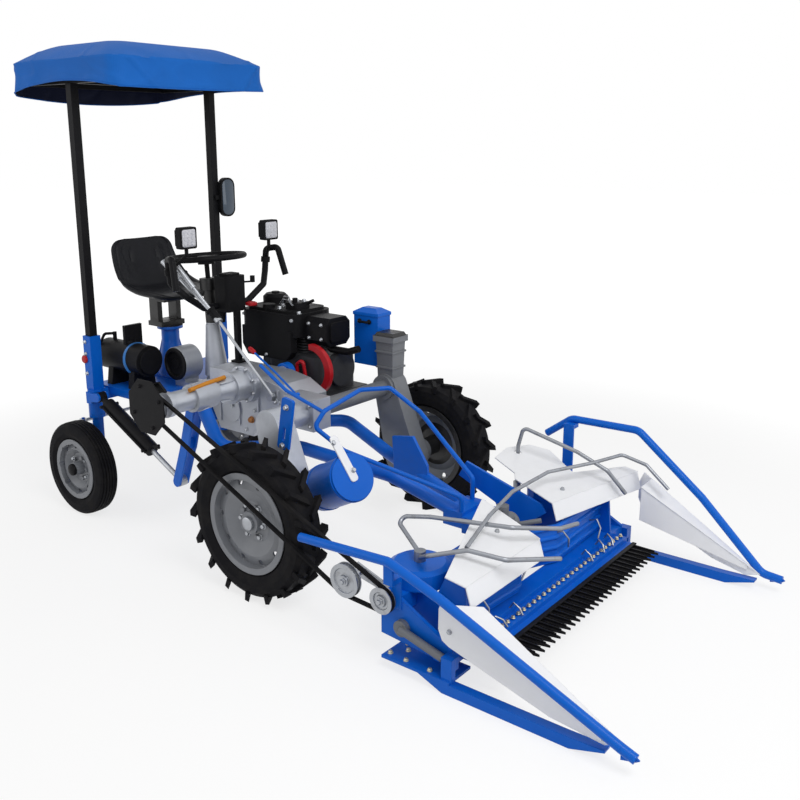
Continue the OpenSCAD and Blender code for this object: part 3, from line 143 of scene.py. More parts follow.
def finish_name(name: str) -> str:
    """A finish's material name, apart from the plain materials that come with the frame."""
    return f"{name}_finish"


class Link:
    """A shader socket that can stand in an arithmetic expression."""

    def __init__(self, tree: "Tree", socket: bpy.types.NodeSocket) -> None:
        """Wraps a socket of a tree."""
        self.tree = tree
        self.socket = socket

    def combine(self, operation: str, first: "Link | float", second: "Link | float") -> "Link":
        """A Math node on two values."""
        return self.tree.node("ShaderNodeMath", {"operation": operation}, {0: first, 1: second})

    def __add__(self, other: "Link | float") -> "Link":
        """Sum."""
        return self.combine("ADD", self, other)

    __radd__ = __add__

    def __sub__(self, other: "Link | float") -> "Link":
        """Difference."""
        return self.combine("SUBTRACT", self, other)

    def __rsub__(self, other: "Link | float") -> "Link":
        """Difference from a number."""
        return self.combine("SUBTRACT", other, self)

    def __mul__(self, other: "Link | float") -> "Link":
        """Product."""
        return self.combine("MULTIPLY", self, other)

    def __pow__(self, power: float) -> "Link":
        """Power."""
        return self.combine("POWER", self, power)

    def above(self, edge: float, width: float) -> "Link":
        """A soft step from 0 to 1, with its middle at an edge and this wide."""
        return self.tree.node("ShaderNodeMapRange", {"interpolation_type": "SMOOTHSTEP"},
                              {"Value": self, "From Min": edge - width / 2, "From Max": edge + width / 2})


class Tree:
    """The shader nodes of one material or of the world."""

    def __init__(self, owner: Owner) -> None:
        """Starts an empty tree.

        Args:
            owner: what the tree belongs to.
        """
        self.owner = owner
        owner.use_nodes = True
        self.nodes = owner.node_tree.nodes
        self.links = owner.node_tree.links
        self.nodes.clear()

    @classmethod
    def named(cls, name: str) -> "Tree":
        """A tree on a new material."""
        return cls(bpy.data.materials.new(finish_name(name)))

    def node(self, kind: str, settings: dict | None = None, inputs: dict | None = None,
             out: int | str = 0) -> Link:
        """Adds a node.

        Args:
            kind: the node's type.
            settings: its properties, set first.
            inputs: values or links by socket name or number.
            out: the output to return.

        Returns:
            The chosen output.
        """
        made = self.nodes.new(kind)
        for key, value in (settings or {}).items():
            setattr(made, key, value)
        for key, value in (inputs or {}).items():
            if isinstance(value, Link):
                self.links.new(value.socket, made.inputs[key])
            else:
                made.inputs[key].default_value = value
        return Link(self, made.outputs[out])

    def place(self) -> Link:
        """Coordinates that are fixed on the piece."""
        return self.node("ShaderNodeTexCoord", out="Object")

    def cloud(self, scale: float, detail: float = 4.0, rough: float = 0.55) -> Link:
        """Noise from 0 to 1: lumps to the metre, octaves and the strength of the finer ones."""
        return self.node("ShaderNodeTexNoise", None,
                         {"Vector": self.place(), "Scale": scale, "Detail": detail, "Roughness": rough})

    def facing_up(self) -> Link:
        """How far the surface faces the sky, from -1 to 1."""
        normal = self.node("ShaderNodeNewGeometry", out="Normal")
        return self.node("ShaderNodeSeparateXYZ", None, {0: normal}, out="Z")

    def blend(self, share: Link | float, first: Link | Colour, second: Link | Colour) -> Link:
        """A colour between two others.

        Args:
            share: 0 gives the first, 1 the second.
            first: a colour or a link.
            second: a colour or a link.

        Returns:
            The mixed colour.
        """
        full = [colour if isinstance(colour, Link) else (*colour, 1.0) for colour in (first, second)]
        return self.node("ShaderNodeMix", {"data_type": "RGBA"}, {0: share, 6: full[0], 7: full[1]}, out=2)

    def rounded_edge(self, radius: float) -> Link:
        """A normal that rolls over sharp edges."""
        return self.node("ShaderNodeBevel", {"samples": 4}, {"Radius": radius})

    def bump(self, height: Link, depth: float, edge: float = 0.0) -> Link:
        """A bumped normal.

        Args:
            height: the relief from 0 to 1.
            depth: how deep that is.
            edge: the radius over which sharp edges are rolled, if any.

        Returns:
            The new normal.
        """
        inputs = {"Height": height, "Distance": depth, "Strength": 1.0}
        if edge:
            inputs["Normal"] = self.rounded_edge(edge)
        return self.node("ShaderNodeBump", None, inputs)

    def surface(self, **inputs: Link | float | tuple) -> bpy.types.Material:
        """Ends the material in a principled surface.

        Args:
            inputs: socket values, with underscores for the spaces in their names.

        Returns:
            The finished material.
        """
        named = {key.replace("_", " "): value for key, value in inputs.items()}
        return self.end(self.node("ShaderNodeBsdfPrincipled", None, named))

    def end(self, shader: Link, kind: str = "ShaderNodeOutputMaterial") -> Owner:
        """Links a shader to a new output node.

        Args:
            shader: what the output shows.
            kind: the output's type.

        Returns:
            The tree's owner.
        """
        made = self.nodes.new(kind)
        self.links.new(shader.socket, made.inputs["Surface"])
        return self.owner


@dataclass(frozen=True)
class Enamel:
    """Sprayed paint on metal: a slight orange peel, faded patches, and dust on what faces up."""

    name: str
    colour: Colour
    roughness: float = 0.32
    fade: float = 0.18
    dust: float = 0.10
    coat: float = 0.06
    specular: float = 0.2
    peel: float = 0.00025
    edge: float = 0.004
    dust_colour: Colour = tint(150, 140, 124)
    bleached_tone: float = 0.75
    bleached_share: float = 0.14
    # The share of the dust that clings to what doesn't face up
    clinging: float = 0.25
    gloss_spread: float = 0.08
    dust_dulls: float = 0.5

    def material(self) -> bpy.types.Material:
        """Builds the paint's material.

        Returns:
            The material.
        """
        tree = Tree.named(self.name)
        patches = tree.cloud(scale=5.0, detail=5.0)
        grime = tree.cloud(scale=22.0, detail=6.0, rough=0.65)
        deep = scaled(self.colour, 1 - self.fade)
        pale = tuple(channel + (self.bleached_tone - channel) * self.fade * self.bleached_share
                     for channel in self.colour)
        paint = tree.blend(patches.above(edge=0.5, width=0.5), deep, pale)
        lying = tree.facing_up().above(edge=0.75, width=0.5) * (1 - self.clinging) + self.clinging
        settled = lying * grime.above(edge=0.56, width=0.3) * self.dust
        gloss = self.roughness + patches * self.gloss_spread + settled * self.dust_dulls
        relief = tree.bump(tree.cloud(scale=420.0, detail=2.0), self.peel, self.edge)
        return tree.surface(Base_Color=tree.blend(settled, paint, self.dust_colour), Normal=relief,
                            Roughness=gloss - self.gloss_spread / 2, Coat_Weight=self.coat,
                            Coat_Roughness=0.12, Specular_IOR_Level=self.specular)


@dataclass(frozen=True)
class Casting:
    """Painted or bare cast metal with a sandy skin and dirt in patches."""

    name: str
    colour: Colour
    roughness: float = 0.45
    metallic: float = 0.55
    soil: float = 0.35
    grain: float = 0.0009
    edge: float = 0.003
    sand_tone: float = 0.88
    stain_tone: float = 0.62
    lump_share: float = 0.7
    stain_dulls: float = 0.5
    sand_dulls: float = 0.12

    def material(self) -> bpy.types.Material:
        """Builds the casting's material.

        Returns:
            The material.
        """
        tree = Tree.named(self.name)
        sand = tree.cloud(scale=260.0, detail=3.0, rough=0.6)
        stain = tree.cloud(scale=9.0, detail=6.0, rough=0.6).above(edge=0.62, width=0.22) * self.soil
        skin = tree.blend(sand, self.colour, scaled(self.colour, self.sand_tone))
        lumps = sand + tree.cloud(scale=60.0, detail=2.0) * self.lump_share
        return tree.surface(Base_Color=tree.blend(stain, skin, scaled(self.colour, self.stain_tone)),
                            Roughness=self.roughness + stain * self.stain_dulls + sand * self.sand_dulls,
                            Metallic=self.metallic, Normal=tree.bump(lumps, self.grain, self.edge))


@dataclass(frozen=True)
class BrightMetal:
    """Plated or ground metal with fine scratches."""

    name: str
    colour: Colour
    roughness: float = 0.24
    worn: float = 0.25
    scratch: float = 0.00012
    streak_scale: Triple = (900.0, 60.0, 900.0)
    edge: float = 0.002
    tarnish: Colour = tint(96, 88, 78)
    streak_dulls: float = 0.14
    spot_dulls: float = 0.6

    def material(self) -> bpy.types.Material:
        """Builds the metal's material.

        Returns:
            The material.
        """
        tree = Tree.named(self.name)
        drawn = tree.node("ShaderNodeMapping", None, {"Vector": tree.place(), "Scale": self.streak_scale})
        streaks = tree.node("ShaderNodeTexNoise", None, {"Vector": drawn, "Scale": 1.0, "Detail": 2.0})
        spots = tree.cloud(scale=30.0, detail=6.0, rough=0.65).above(edge=0.6, width=0.2) * self.worn
        gloss = self.roughness + streaks * self.streak_dulls + spots * self.spot_dulls
        return tree.surface(Base_Color=tree.blend(spots, self.colour, self.tarnish), Metallic=1.0,
                            Roughness=gloss, Normal=tree.bump(streaks, self.scratch, self.edge))


@dataclass(frozen=True)
class Rubber:
    """Tyre or belt rubber: dull, with pale dust in blotches."""

    name: str
    colour: Colour = tint(25, 25, 28)
    dust: float = 0.1
    dust_colour: Colour = tint(86, 82, 76)
    grain: float = 0.0006
    edge: float = 0.004
    specular: float = 0.05
    roughness: float = 0.6
    dust_dulls: float = 0.5
    grain_dulls: float = 0.1

    def material(self) -> bpy.types.Material:
        """Builds the rubber's material.

        Returns:
            The material.
        """
        tree = Tree.named(self.name)
        fine = tree.cloud(scale=330.0, detail=3.0)
        blotch = tree.cloud(scale=14.0, detail=6.0, rough=0.62).above(edge=0.55, width=0.3) * self.dust
        return tree.surface(Base_Color=tree.blend(blotch, self.colour, self.dust_colour),
                            Roughness=self.roughness + blotch * self.dust_dulls + fine * self.grain_dulls,
                            Specular_IOR_Level=self.specular, Normal=tree.bump(fine, self.grain, self.edge))


@dataclass(frozen=True)
class Moulding:
    """Moulded plastic or vinyl with a pebbled grain."""

    name: str
    colour: Colour = tint(19, 19, 21)
    roughness: float = 0.46
    pebbles: float = 420.0
    grain: float = 0.0005
    specular: float = 0.08
    edge: float = 0.004
    scuff_share: float = 0.35
    scuff_gain: float = 1.6
    scuff_lift: float = 0.004
    scuff_dulls: float = 0.14

    def material(self) -> bpy.types.Material:
        """Builds the plastic's material.

        Returns:
            The material.
        """
        tree = Tree.named(self.name)
        cells = tree.node("ShaderNodeTexVoronoi", {"feature": "SMOOTH_F1"},
                          {"Vector": tree.place(), "Scale": self.pebbles}, out="Distance")
        scuff = tree.cloud(scale=18.0, detail=5.0).above(edge=0.58, width=0.3)
        scuffed = tuple(channel * self.scuff_gain + self.scuff_lift for channel in self.colour)
        return tree.surface(Base_Color=tree.blend(scuff * self.scuff_share, self.colour, scuffed),
                            Roughness=self.roughness + scuff * self.scuff_dulls,
                            Specular_IOR_Level=self.specular,
                            Normal=tree.bump(cells, self.grain, self.edge))


@dataclass(frozen=True)
class Canvas:
    """Coated woven cloth, with the threads' weave and slightly worn folds."""

    name: str
    colour: Colour
    thread_scale: float = 62.0
    depth: float = 0.0005
    deep_tone: float = 0.8
    fade_share: float = 0.7
    thread_share: float = 0.2
    roughness: float = 0.62
    fade_dulls: float = 0.1

    def material(self) -> bpy.types.Material:
        """Builds the cloth's material.

        Returns:
            The material.
        """
        tree = Tree.named(self.name)
        weave = [tree.node("ShaderNodeTexWave", {"bands_direction": way},
                           {"Vector": tree.place(), "Scale": self.thread_scale, "Distortion": 0.6,
                            "Detail": 1.0}) for way in "XYZ"]
        threads = (weave[0] + weave[1] + weave[2]) * 0.33
        fade = tree.cloud(scale=4.0, detail=5.0)
        worn = fade.above(edge=0.5, width=0.6) * self.fade_share + threads * self.thread_share
        return tree.surface(Base_Color=tree.blend(worn, scaled(self.colour, self.deep_tone), self.colour),
                            Roughness=self.roughness + fade * self.fade_dulls,
                            Normal=tree.bump(threads, self.depth),
                            Sheen_Weight=0.08, Sheen_Roughness=0.4, Specular_IOR_Level=0.15)


@dataclass(frozen=True)
class Glass:
    """A lamp's lens or a mirror: a clear or silvered glossy face."""

    name: str
    colour: Colour
    metallic: float = 0.0
    relief: float = 0.0
    roughness: float = 0.05
    facets: float = 90.0
    haze_share: float = 0.3
    facet_share: float = 0.25
    dim_tone: float = 0.7
    haze_dulls: float = 0.06

    def material(self) -> bpy.types.Material:
        """Builds the lens material.

        Returns:
            The material.
        """
        tree = Tree.named(self.name)
        haze = tree.cloud(scale=12.0, detail=3.0)
        cells = tree.node("ShaderNodeTexVoronoi", None, {"Vector": tree.place(), "Scale": self.facets},
                          out="Distance")
        dim = haze * self.haze_share + cells * self.facet_share
        return tree.surface(Base_Color=tree.blend(dim, self.colour, scaled(self.colour, self.dim_tone)),
                            Metallic=self.metallic, Roughness=self.roughness + haze * self.haze_dulls,
                            Normal=tree.bump(cells, self.relief), Coat_Weight=0.6, Coat_Roughness=0.03)


@dataclass(frozen=True)
class TwoPaints:
    """What finishes of two paints share: thin grime and a sprayed skin."""

    name: str
    _: KW_ONLY
    roughness: float = 0.38
    grime_share: float = 0.12
    grime_colour: Colour = tint(96, 92, 86)
    grime_dulls: float = 0.2
    grain: float = 0.0004
    edge: float = 0.004
    # The width over which one paint passes into the other
    seam: float = 0.002

    def skin(self, paint: Link, **inputs: Link | float) -> bpy.types.Material:
        """Ends the material.

        Args:
            paint: the two colours, already parted.
            inputs: other socket values of the surface.

        Returns:
            The finished material.
        """
        tree = paint.tree
        grime = tree.cloud(scale=18.0, detail=6.0, rough=0.62).above(edge=0.6, width=0.3)
        relief = tree.bump(tree.cloud(scale=300.0, detail=2.0), self.grain, self.edge)
        return tree.surface(Base_Color=tree.blend(grime * self.grime_share, paint, self.grime_colour),
                            Roughness=self.roughness + grime * self.grime_dulls, Normal=relief, **inputs)


@dataclass(frozen=True)
class SplitPaint(TwoPaints):
    """Two paints on one piece, parted at a level; on the left front rim the dark one is partly painted
    shade.
    """

    low: Colour
    high: Colour
    level: float
    axis: str = "Z"
    low_metallic: float = 0.0

    def material(self) -> bpy.types.Material:
        """Builds the two paints' material.

        Returns:
            The material.
        """
        tree = Tree.named(self.name)
        height = tree.node("ShaderNodeSeparateXYZ", None, {0: tree.place()}, out=self.axis)
        upper = height.above(self.level, self.seam)
        return self.skin(tree.blend(upper, self.low, self.high),
                         Metallic=upper * -self.low_metallic + self.low_metallic)


@dataclass(frozen=True)
class SleevePaint(TwoPaints):
    """Paint on a beam, with the bare cast sleeve that it turns on."""

    paint: Colour
    sleeve: Colour
    axis_x: float = -0.451
    axis_z: float = 0.735
    radius: float = 0.066
    inner_end: float = -0.3
    sleeve_metallic: float = 0.3
    specular: float = 0.3

    def material(self) -> bpy.types.Material:
        """Builds the two-part material.

        Returns:
            The material.
        """
        tree = Tree.named(self.name)
        split = tree.node("ShaderNodeSeparateXYZ", None, {0: tree.place()})
        x, y, z = (Link(tree, split.socket.node.outputs[name]) for name in "XYZ")
        from_axis = ((x - self.axis_x) ** 2.0 + (z - self.axis_z) ** 2.0) ** 0.5
        outside = from_axis.above(self.radius, self.seam)
        beam = outside.combine("MAXIMUM", outside, y.above(self.inner_end, self.seam))
        return self.skin(tree.blend(beam, self.sleeve, self.paint), Specular_IOR_Level=self.specular,
                         Metallic=self.sleeve_metallic - beam * self.sleeve_metallic)


PLAIN_WHITE = (1.0, 1.0, 1.0, 1.0)
BLUE_TONE = tint(0, 100, 208)
CAST_TONE = tint(176, 180, 188)
IRON_TONE = tint(112, 115, 120)
DEEP_BLACK = tint(15, 15, 17)


class Finish(Enum):
    """Every finish on the machine, by the record's material slot or the trim that wears it."""

    BLUE = Enamel("blue_paint", BLUE_TONE, fade=0.05, dust=0.02, specular=0.14)
    PALE_BLUE = Enamel("strap_paint", tint(58, 130, 206), dust=0.05)
    WHITE = Enamel("white_paint", tint(246, 247, 250), fade=0.02, dust=0.03, roughness=0.3)
    SILVER = Casting("silver_casting", tint(184, 188, 196), metallic=0.6, roughness=0.3, soil=0.3)
    GREY = Casting("grey_casting", IRON_TONE, metallic=0.2)
    BLACK = Enamel("black_paint", tint(20, 20, 23), roughness=0.4, fade=0.02, dust=0.03, coat=0.0,
                   specular=0.08)
    PLASTIC = Moulding("black_plastic")
    VINYL = Moulding("seat_vinyl", tint(22, 23, 28), roughness=0.4, pebbles=300.0, grain=0.0007,
                     specular=0.14)
    CANVAS = Canvas("canvas", tint(28, 108, 200))
    LINING = Canvas("canvas_lining", tint(12, 20, 48))
    TYRE = Rubber("tyre_rubber")
    BELT = Rubber("belt_rubber", tint(26, 26, 28), dust=0.08)
    STEEL = BrightMetal("bright_steel", tint(168, 171, 176), roughness=0.3)
    ROD = BrightMetal("packer_steel", tint(146, 149, 155), roughness=0.36)
    WHEEL = Enamel("wheel_paint", tint(128, 131, 137), roughness=0.36, fade=0.12, dust=0.08, coat=0.1,
                   specular=0.4)
    RED = Enamel("red_paint", tint(190, 16, 30), dust=0.03)
    ORANGE = Enamel("orange_paint", tint(214, 138, 30), dust=0.03)
    ZINC = BrightMetal("yellow_zinc", tint(214, 205, 176), roughness=0.34, worn=0.1)
    BRASS = BrightMetal("brass_plug", tint(150, 104, 66), roughness=0.4)
    LENS = Glass("lamp_lens", tint(206, 207, 214), relief=0.0014)
    MIRROR = Glass("mirror_glass", tint(30, 56, 78), metallic=0.15)
    PEDESTAL = SplitPaint("pedestal_paint", BLUE_TONE, DEEP_BLACK, 0.890)
    COLUMN = SplitPaint("column_paint", CAST_TONE, DEEP_BLACK, 0.945, low_metallic=0.3)
    TOWER = SplitPaint("tower_paint", IRON_TONE, tint(17, 17, 19), 0.9195, low_metallic=0.2)
    ENGINE = Casting("engine_casting", tint(48, 49, 53), metallic=0.2, roughness=0.5)
    # The left front rim is dark inwards of Y 0.626: partly black paint and partly painted shade, where that
    # side lies in shadow
    BLACK_AND_SHADED_RIM = SplitPaint("inner_rim_paint_and_shade", tint(26, 26, 28), tint(134, 138, 144), 0.626, axis="Y")
    HINGE = SleevePaint("boom_paint", BLUE_TONE, CAST_TONE, grime_share=0.1)

    @property
    def material(self) -> bpy.types.Material:
        """The finish's material, built on first use."""
        return bpy.data.materials.get(finish_name(self.value.name)) or self.value.material()


class Way(Enum):
    """Directions in which a trim piece is driven or faces."""

    LEFT = (0.0, 1.0, 0.0)
    RIGHT = (0.0, -1.0, 0.0)
    DOWN = (0.0, 0.0, -1.0)
    BACK = (-1.0, 0.0, 0.0)
    FORWARD = (1.0, 0.0, 0.0)


@dataclass
class Shape:
    """Vertices and faces gathered for one mesh piece."""

    verts: list[Vector] = field(default_factory=list)
    faces: list[tuple[int, ...]] = field(default_factory=list)
    # A bolt's washer and its hexagon head: radius and height as shares of the washer's diameter
    washer: Profile = ((0.5, 0.0), (0.5, 0.1), (0.4, 0.12))
    hexagon: Profile = ((0.4, 0.1), (0.4, 0.42), (0.33, 0.5))

    def ring_surface(self, rings: Sequence[Sequence[Point]], caps: bool = False) -> None:
        """Skins a run of closed rings with quads.

        Args:
            rings: rings of equal length.
            caps: closes the two ends with one face each.
        """
        start = len(self.verts)
        count = len(rings[0])
        for ring in rings:
            self.verts += [Vector(p) for p in ring]
        for r in range(len(rings) - 1):
            for i in range(count):
                a = start + r * count + i
                b = start + r * count + (i + 1) % count
                self.faces.append((a, b, b + count, a + count))
        if caps:
            self.faces.append(tuple(range(start + count - 1, start - 1, -1)))
            self.faces.append(tuple(start + (len(rings) - 1) * count + i for i in range(count)))

    def turned(self, profile: Profile, centre: Point, axis: Point, sides: int) -> None:
        """Turns a profile round an axis.

        Args:
            profile: radius and height pairs.
            centre: where height 0 lies.
            axis: the way that height runs.
            sides: points round the axis.
        """
        spin = Vector(axis).to_track_quat("Z", "Y")
        turns = [math.tau * i / sides for i in range(sides)]
        rings = [[Vector(centre) + spin @ Vector((radius * math.cos(turn), radius * math.sin(turn), height))
                  for turn in turns] for radius, height in profile]
        self.ring_surface(rings, caps=True)

    def bolt(self, centre: Point, axis: Point, size: float) -> None:
        """A hexagon head on a washer.

        Args:
            centre: the seat of the washer.
            axis: outwards.
            size: the washer's diameter.
        """
        for profile, sides in ((self.washer, 16), (self.hexagon, 6)):
            self.turned([(size * radius, size * height) for radius, height in profile], centre, axis, sides)

    def tube(self, path: Sequence[Point], radius: float, sides: int) -> None:
        """A round tube along a path.

        Args:
            path: the points of its middle line.
            radius: its radius.
            sides: points round it.
        """
        points = [Vector(p) for p in path]
        turns = [math.tau * k / sides for k in range(sides)]
        side = None
        rings = []
        for i, here in enumerate(points):
            way = (points[min(i + 1, len(points) - 1)] - points[max(i - 1, 0)]).normalized()
            if side is None:
                side = way.orthogonal().normalized()
            side = (side - way * side.dot(way)).normalized()
            other = way.cross(side)
            rings.append([here + (side * math.cos(turn) + other * math.sin(turn)) * radius
                          for turn in turns])
        self.ring_surface(rings, caps=True)

    def pane(self, centre: Vector, outline: Profile, steps: Profile) -> None:
        """A stepped pane that faces forward.

        Args:
            centre: the middle of its back.
            outline: y and z pairs round it.
            steps: each ring's depth and its share of the outline.
        """
        self.ring_surface([[centre + Vector((depth, y * grow, z * grow)) for y, z in outline]
                           for depth, grow in steps], caps=True)

    def done(self, name: str, finish: Finish, body: str, smooth: float = 40.0) -> bpy.types.Object:
        """Makes the piece and sets it on its body.

        Args:
            name: the piece's name.
            finish: what it wears.
            body: the body that carries it.
            smooth: edges sharper than this many degrees stay sharp.

        Returns:
            The new object.
        """
        mesh = bpy.data.meshes.new(name)
        mesh.from_pydata([tuple(v) for v in self.verts], [], self.faces)
        mesh.validate()
        mesh.update()
        mesh.shade_smooth()
        mesh.set_sharp_from_angle(angle=math.radians(smooth))
        made = bpy.data.objects.new(name, mesh)
        bpy.context.scene.collection.objects.link(made)
        mesh.materials.append(finish.material)
        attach(made, body)
        log.info("piece %s on %s", name, body)
        return made


@dataclass
class Studio:
    """White floor, soft lamps and the camera of the photograph."""

    eye: Triple = (2.6505, -3.0089, 1.8234)
    heading: float = 127.86
    dip: float = 13.39
    lens: float = 41.62
    sensor: float = 36.0
    shift: Pair = (-0.001, -0.0482)
    # Each lamp's name, place, power in watts and side
    lamps: tuple[tuple[str, Triple, float, float], ...] = (
        ("key", (3.4, -1.4, 4.4), 120.0, 2.4),
        ("fill", (-3.0, -3.8, 2.6), 34.0, 3.0),
        ("front", (4.4, 2.4, 2.4), 26.0, 2.6))
    lamps_aim: Triple = (0.1, 0.0, 0.8)
    sky: float = 0.42
    white: float = 1.0
    floor_tone: float = 0.86
    floor_half: float = 30.0
    floor_z: float = -0.0005
    floor_gain: float = 0.08
    # The floor shows its shadows within the first reach and turns plain white by the second
    reach: Pair = (2.2, 4.6)
    glow: float = 0.7

    def build(self) -> None:
        """Makes the camera, lamps, sky and floor."""
        self._camera()
        for lamp in self.lamps:
            self._lamp(*lamp)
        self._sky()
        self._floor()
        bpy.context.scene.view_settings.view_transform = "Standard"

    def _camera(self) -> None:
        """Sets the camera where the photograph was taken."""
        data = bpy.data.cameras.new("camera")
        data.lens = self.lens
        data.sensor_width = self.sensor
        data.shift_x, data.shift_y = self.shift
        camera = bpy.data.objects.new("camera", data)
        turn, down = math.radians(self.heading), math.radians(self.dip)
        look = Vector((math.cos(turn) * math.cos(down), math.sin(turn) * math.cos(down), -math.sin(down)))
        camera.location = self.eye
        camera.rotation_euler = look.to_track_quat("-Z", "Y").to_euler()
        bpy.context.scene.collection.objects.link(camera)
        bpy.context.scene.camera = camera

    def _lamp(self, name: str, place: Point, power: float, size: float) -> None:
        """A square area lamp aimed at the machine's middle.

        Args:
            name: the lamp's name.
            place: where it hangs.
            power: watts.
            size: its side.
        """
        data = bpy.data.lights.new(name, "AREA")
        data.energy = power
        data.size = size
        lamp = bpy.data.objects.new(name, data)
        lamp.location = place
        lamp.rotation_euler = (Vector(self.lamps_aim) - Vector(place)).to_track_quat("-Z", "Y").to_euler()
        bpy.context.scene.collection.objects.link(lamp)

    @staticmethod
    def _seen(tree: Tree) -> Link:
        """Whether the camera, a gloss or a lens looks straight at the surface.

        Args:
            tree: the tree that asks.

        Returns:
            1 if so, else 0.
        """
        path = tree.nodes.new("ShaderNodeLightPath")
        camera, gloss, lens = (Link(tree, path.outputs[f"Is {ray} Ray"])
                               for ray in ("Camera", "Glossy", "Transmission"))
        return camera.combine("MINIMUM", camera + gloss + lens, 1.0)

    def _sky(self) -> None:
        """A plain sky that shows white and lights softly."""
        world = bpy.data.worlds.new("studio")
        bpy.context.scene.world = world
        tree = Tree(world)
        strength = self._seen(tree) * (self.white - self.sky) + self.sky
        shade = tree.node("ShaderNodeBackground", None, {"Color": PLAIN_WHITE, "Strength": strength})
        tree.end(shade, "ShaderNodeOutputWorld")

    def _floor(self) -> None:
        """A wide pale floor that keeps the shadow."""
        tree = Tree.named("studio_floor")
        plain = (self.floor_tone,) * 3
        tone = tree.blend(tree.cloud(scale=3.0, detail=2.0) * 0.1, plain, scaled(plain, 0.98))
        matt = tree.node("ShaderNodeBsdfDiffuse", None, {"Color": tone})
        glow = tree.node("ShaderNodeEmission", None,
                         {"Color": PLAIN_WHITE, "Strength": self.white + self.floor_gain})
        far = tree.node("ShaderNodeVectorMath", {"operation": "LENGTH"}, {0: tree.place()}, out="Value")
        middle, width = sum(self.reach) / 2, self.reach[1] - self.reach[0]
        share = self.glow + far.above(middle, width) * (1 - self.glow)
        tree.end(tree.node("ShaderNodeMixShader", None, {0: self._seen(tree) * share, 1: matt, 2: glow}))
        mesh = bpy.data.meshes.new("floor")
        corners = [(x * self.floor_half, y * self.floor_half, 0)
                   for x, y in ((-1, -1), (1, -1), (1, 1), (-1, 1))]
        mesh.from_pydata(corners, [], [(0, 1, 2, 3)])
        mesh.materials.append(tree.owner)
        floor = bpy.data.objects.new("floor", mesh)
        bpy.context.scene.collection.objects.link(floor)
        floor.location.z = self.floor_z


@dataclass
class FrameFinishes:
    """Dresses every node of the frame by its slot in the record, or by a finish of its own."""

    slots: dict[str, Finish] = field(default_factory=lambda: {
        "blue_paint": Finish.BLUE, "white_paint": Finish.WHITE, "silver_casting": Finish.SILVER,
        "grey_casting": Finish.GREY, "black_paint": Finish.BLACK, "black_plastic": Finish.PLASTIC,
        "seat_vinyl": Finish.VINYL, "canvas": Finish.CANVAS, "tyre_rubber": Finish.TYRE,
        "belt_rubber": Finish.BELT, "bright_steel": Finish.STEEL, "wheel_paint": Finish.WHEEL,
        "red_paint": Finish.RED})
    own: dict[str, Finish] = field(default_factory=lambda: {
        "seat_column": Finish.PEDESTAL, "steering_column": Finish.COLUMN, "drop_case_left": Finish.TOWER,
        "fingers": Finish.BLACK, "drop_case_right": Finish.SILVER, "packers": Finish.ROD,
        # The left front rim's dark inner side is black paint together with painted shade
        "boom": Finish.HINGE, "engine_block": Finish.ENGINE, "rim_front_left": Finish.BLACK_AND_SHADED_RIM})

    def dress(self) -> None:
        """Gives each node its material."""
        for part in frame["record"]["subparts"]:
            node = frame["nodes"][part["node"]]
            finish = self.own.get(part["node"], self.slots[part["material_slot"]])
            for slot in node.material_slots:
                slot.material = finish.material
            log.info("node %s wears %s", part["node"], finish.value.name)


def round_rectangle(half_x: float, half_y: float, radius: float, count: int) -> list[Pair]:
    """Points spaced evenly round a rectangle with rounded corners, from the middle of its +X side.

    Args:
        half_x: half its size along X.
        half_y: half its size along Y.
        radius: the corners' radius.
        count: points in all.

    Returns:
        The points as x, y pairs.
    """
    straight_x, straight_y = 2 * (half_x - radius), 2 * (half_y - radius)
    arc = math.pi * radius / 2
    legs = [straight_y / 2, arc, straight_x, arc, straight_y, arc, straight_x, arc, straight_y / 2]
    total = 2 * (straight_x + straight_y) + 4 * arc
    points = []
    for i in range(count):
        left = total * i / count
        x, y, turn = half_x, 0.0, 90.0
        for leg, length in enumerate(legs):
            step = min(left, length)
            if leg % 2 == 0:
                x += step * math.cos(math.radians(turn))
                y += step * math.sin(math.radians(turn))
            elif length > 0:
                swept = 90.0 * step / length
                nose = math.radians(turn - 90)
                centre = (x - radius * math.cos(nose), y - radius * math.sin(nose))
                x = centre[0] + radius * math.cos(nose + math.radians(swept))
                y = centre[1] + radius * math.sin(nose + math.radians(swept))
                turn += swept
            left -= step
            if left <= 0:
                break
        points.append((x, y))
    return points


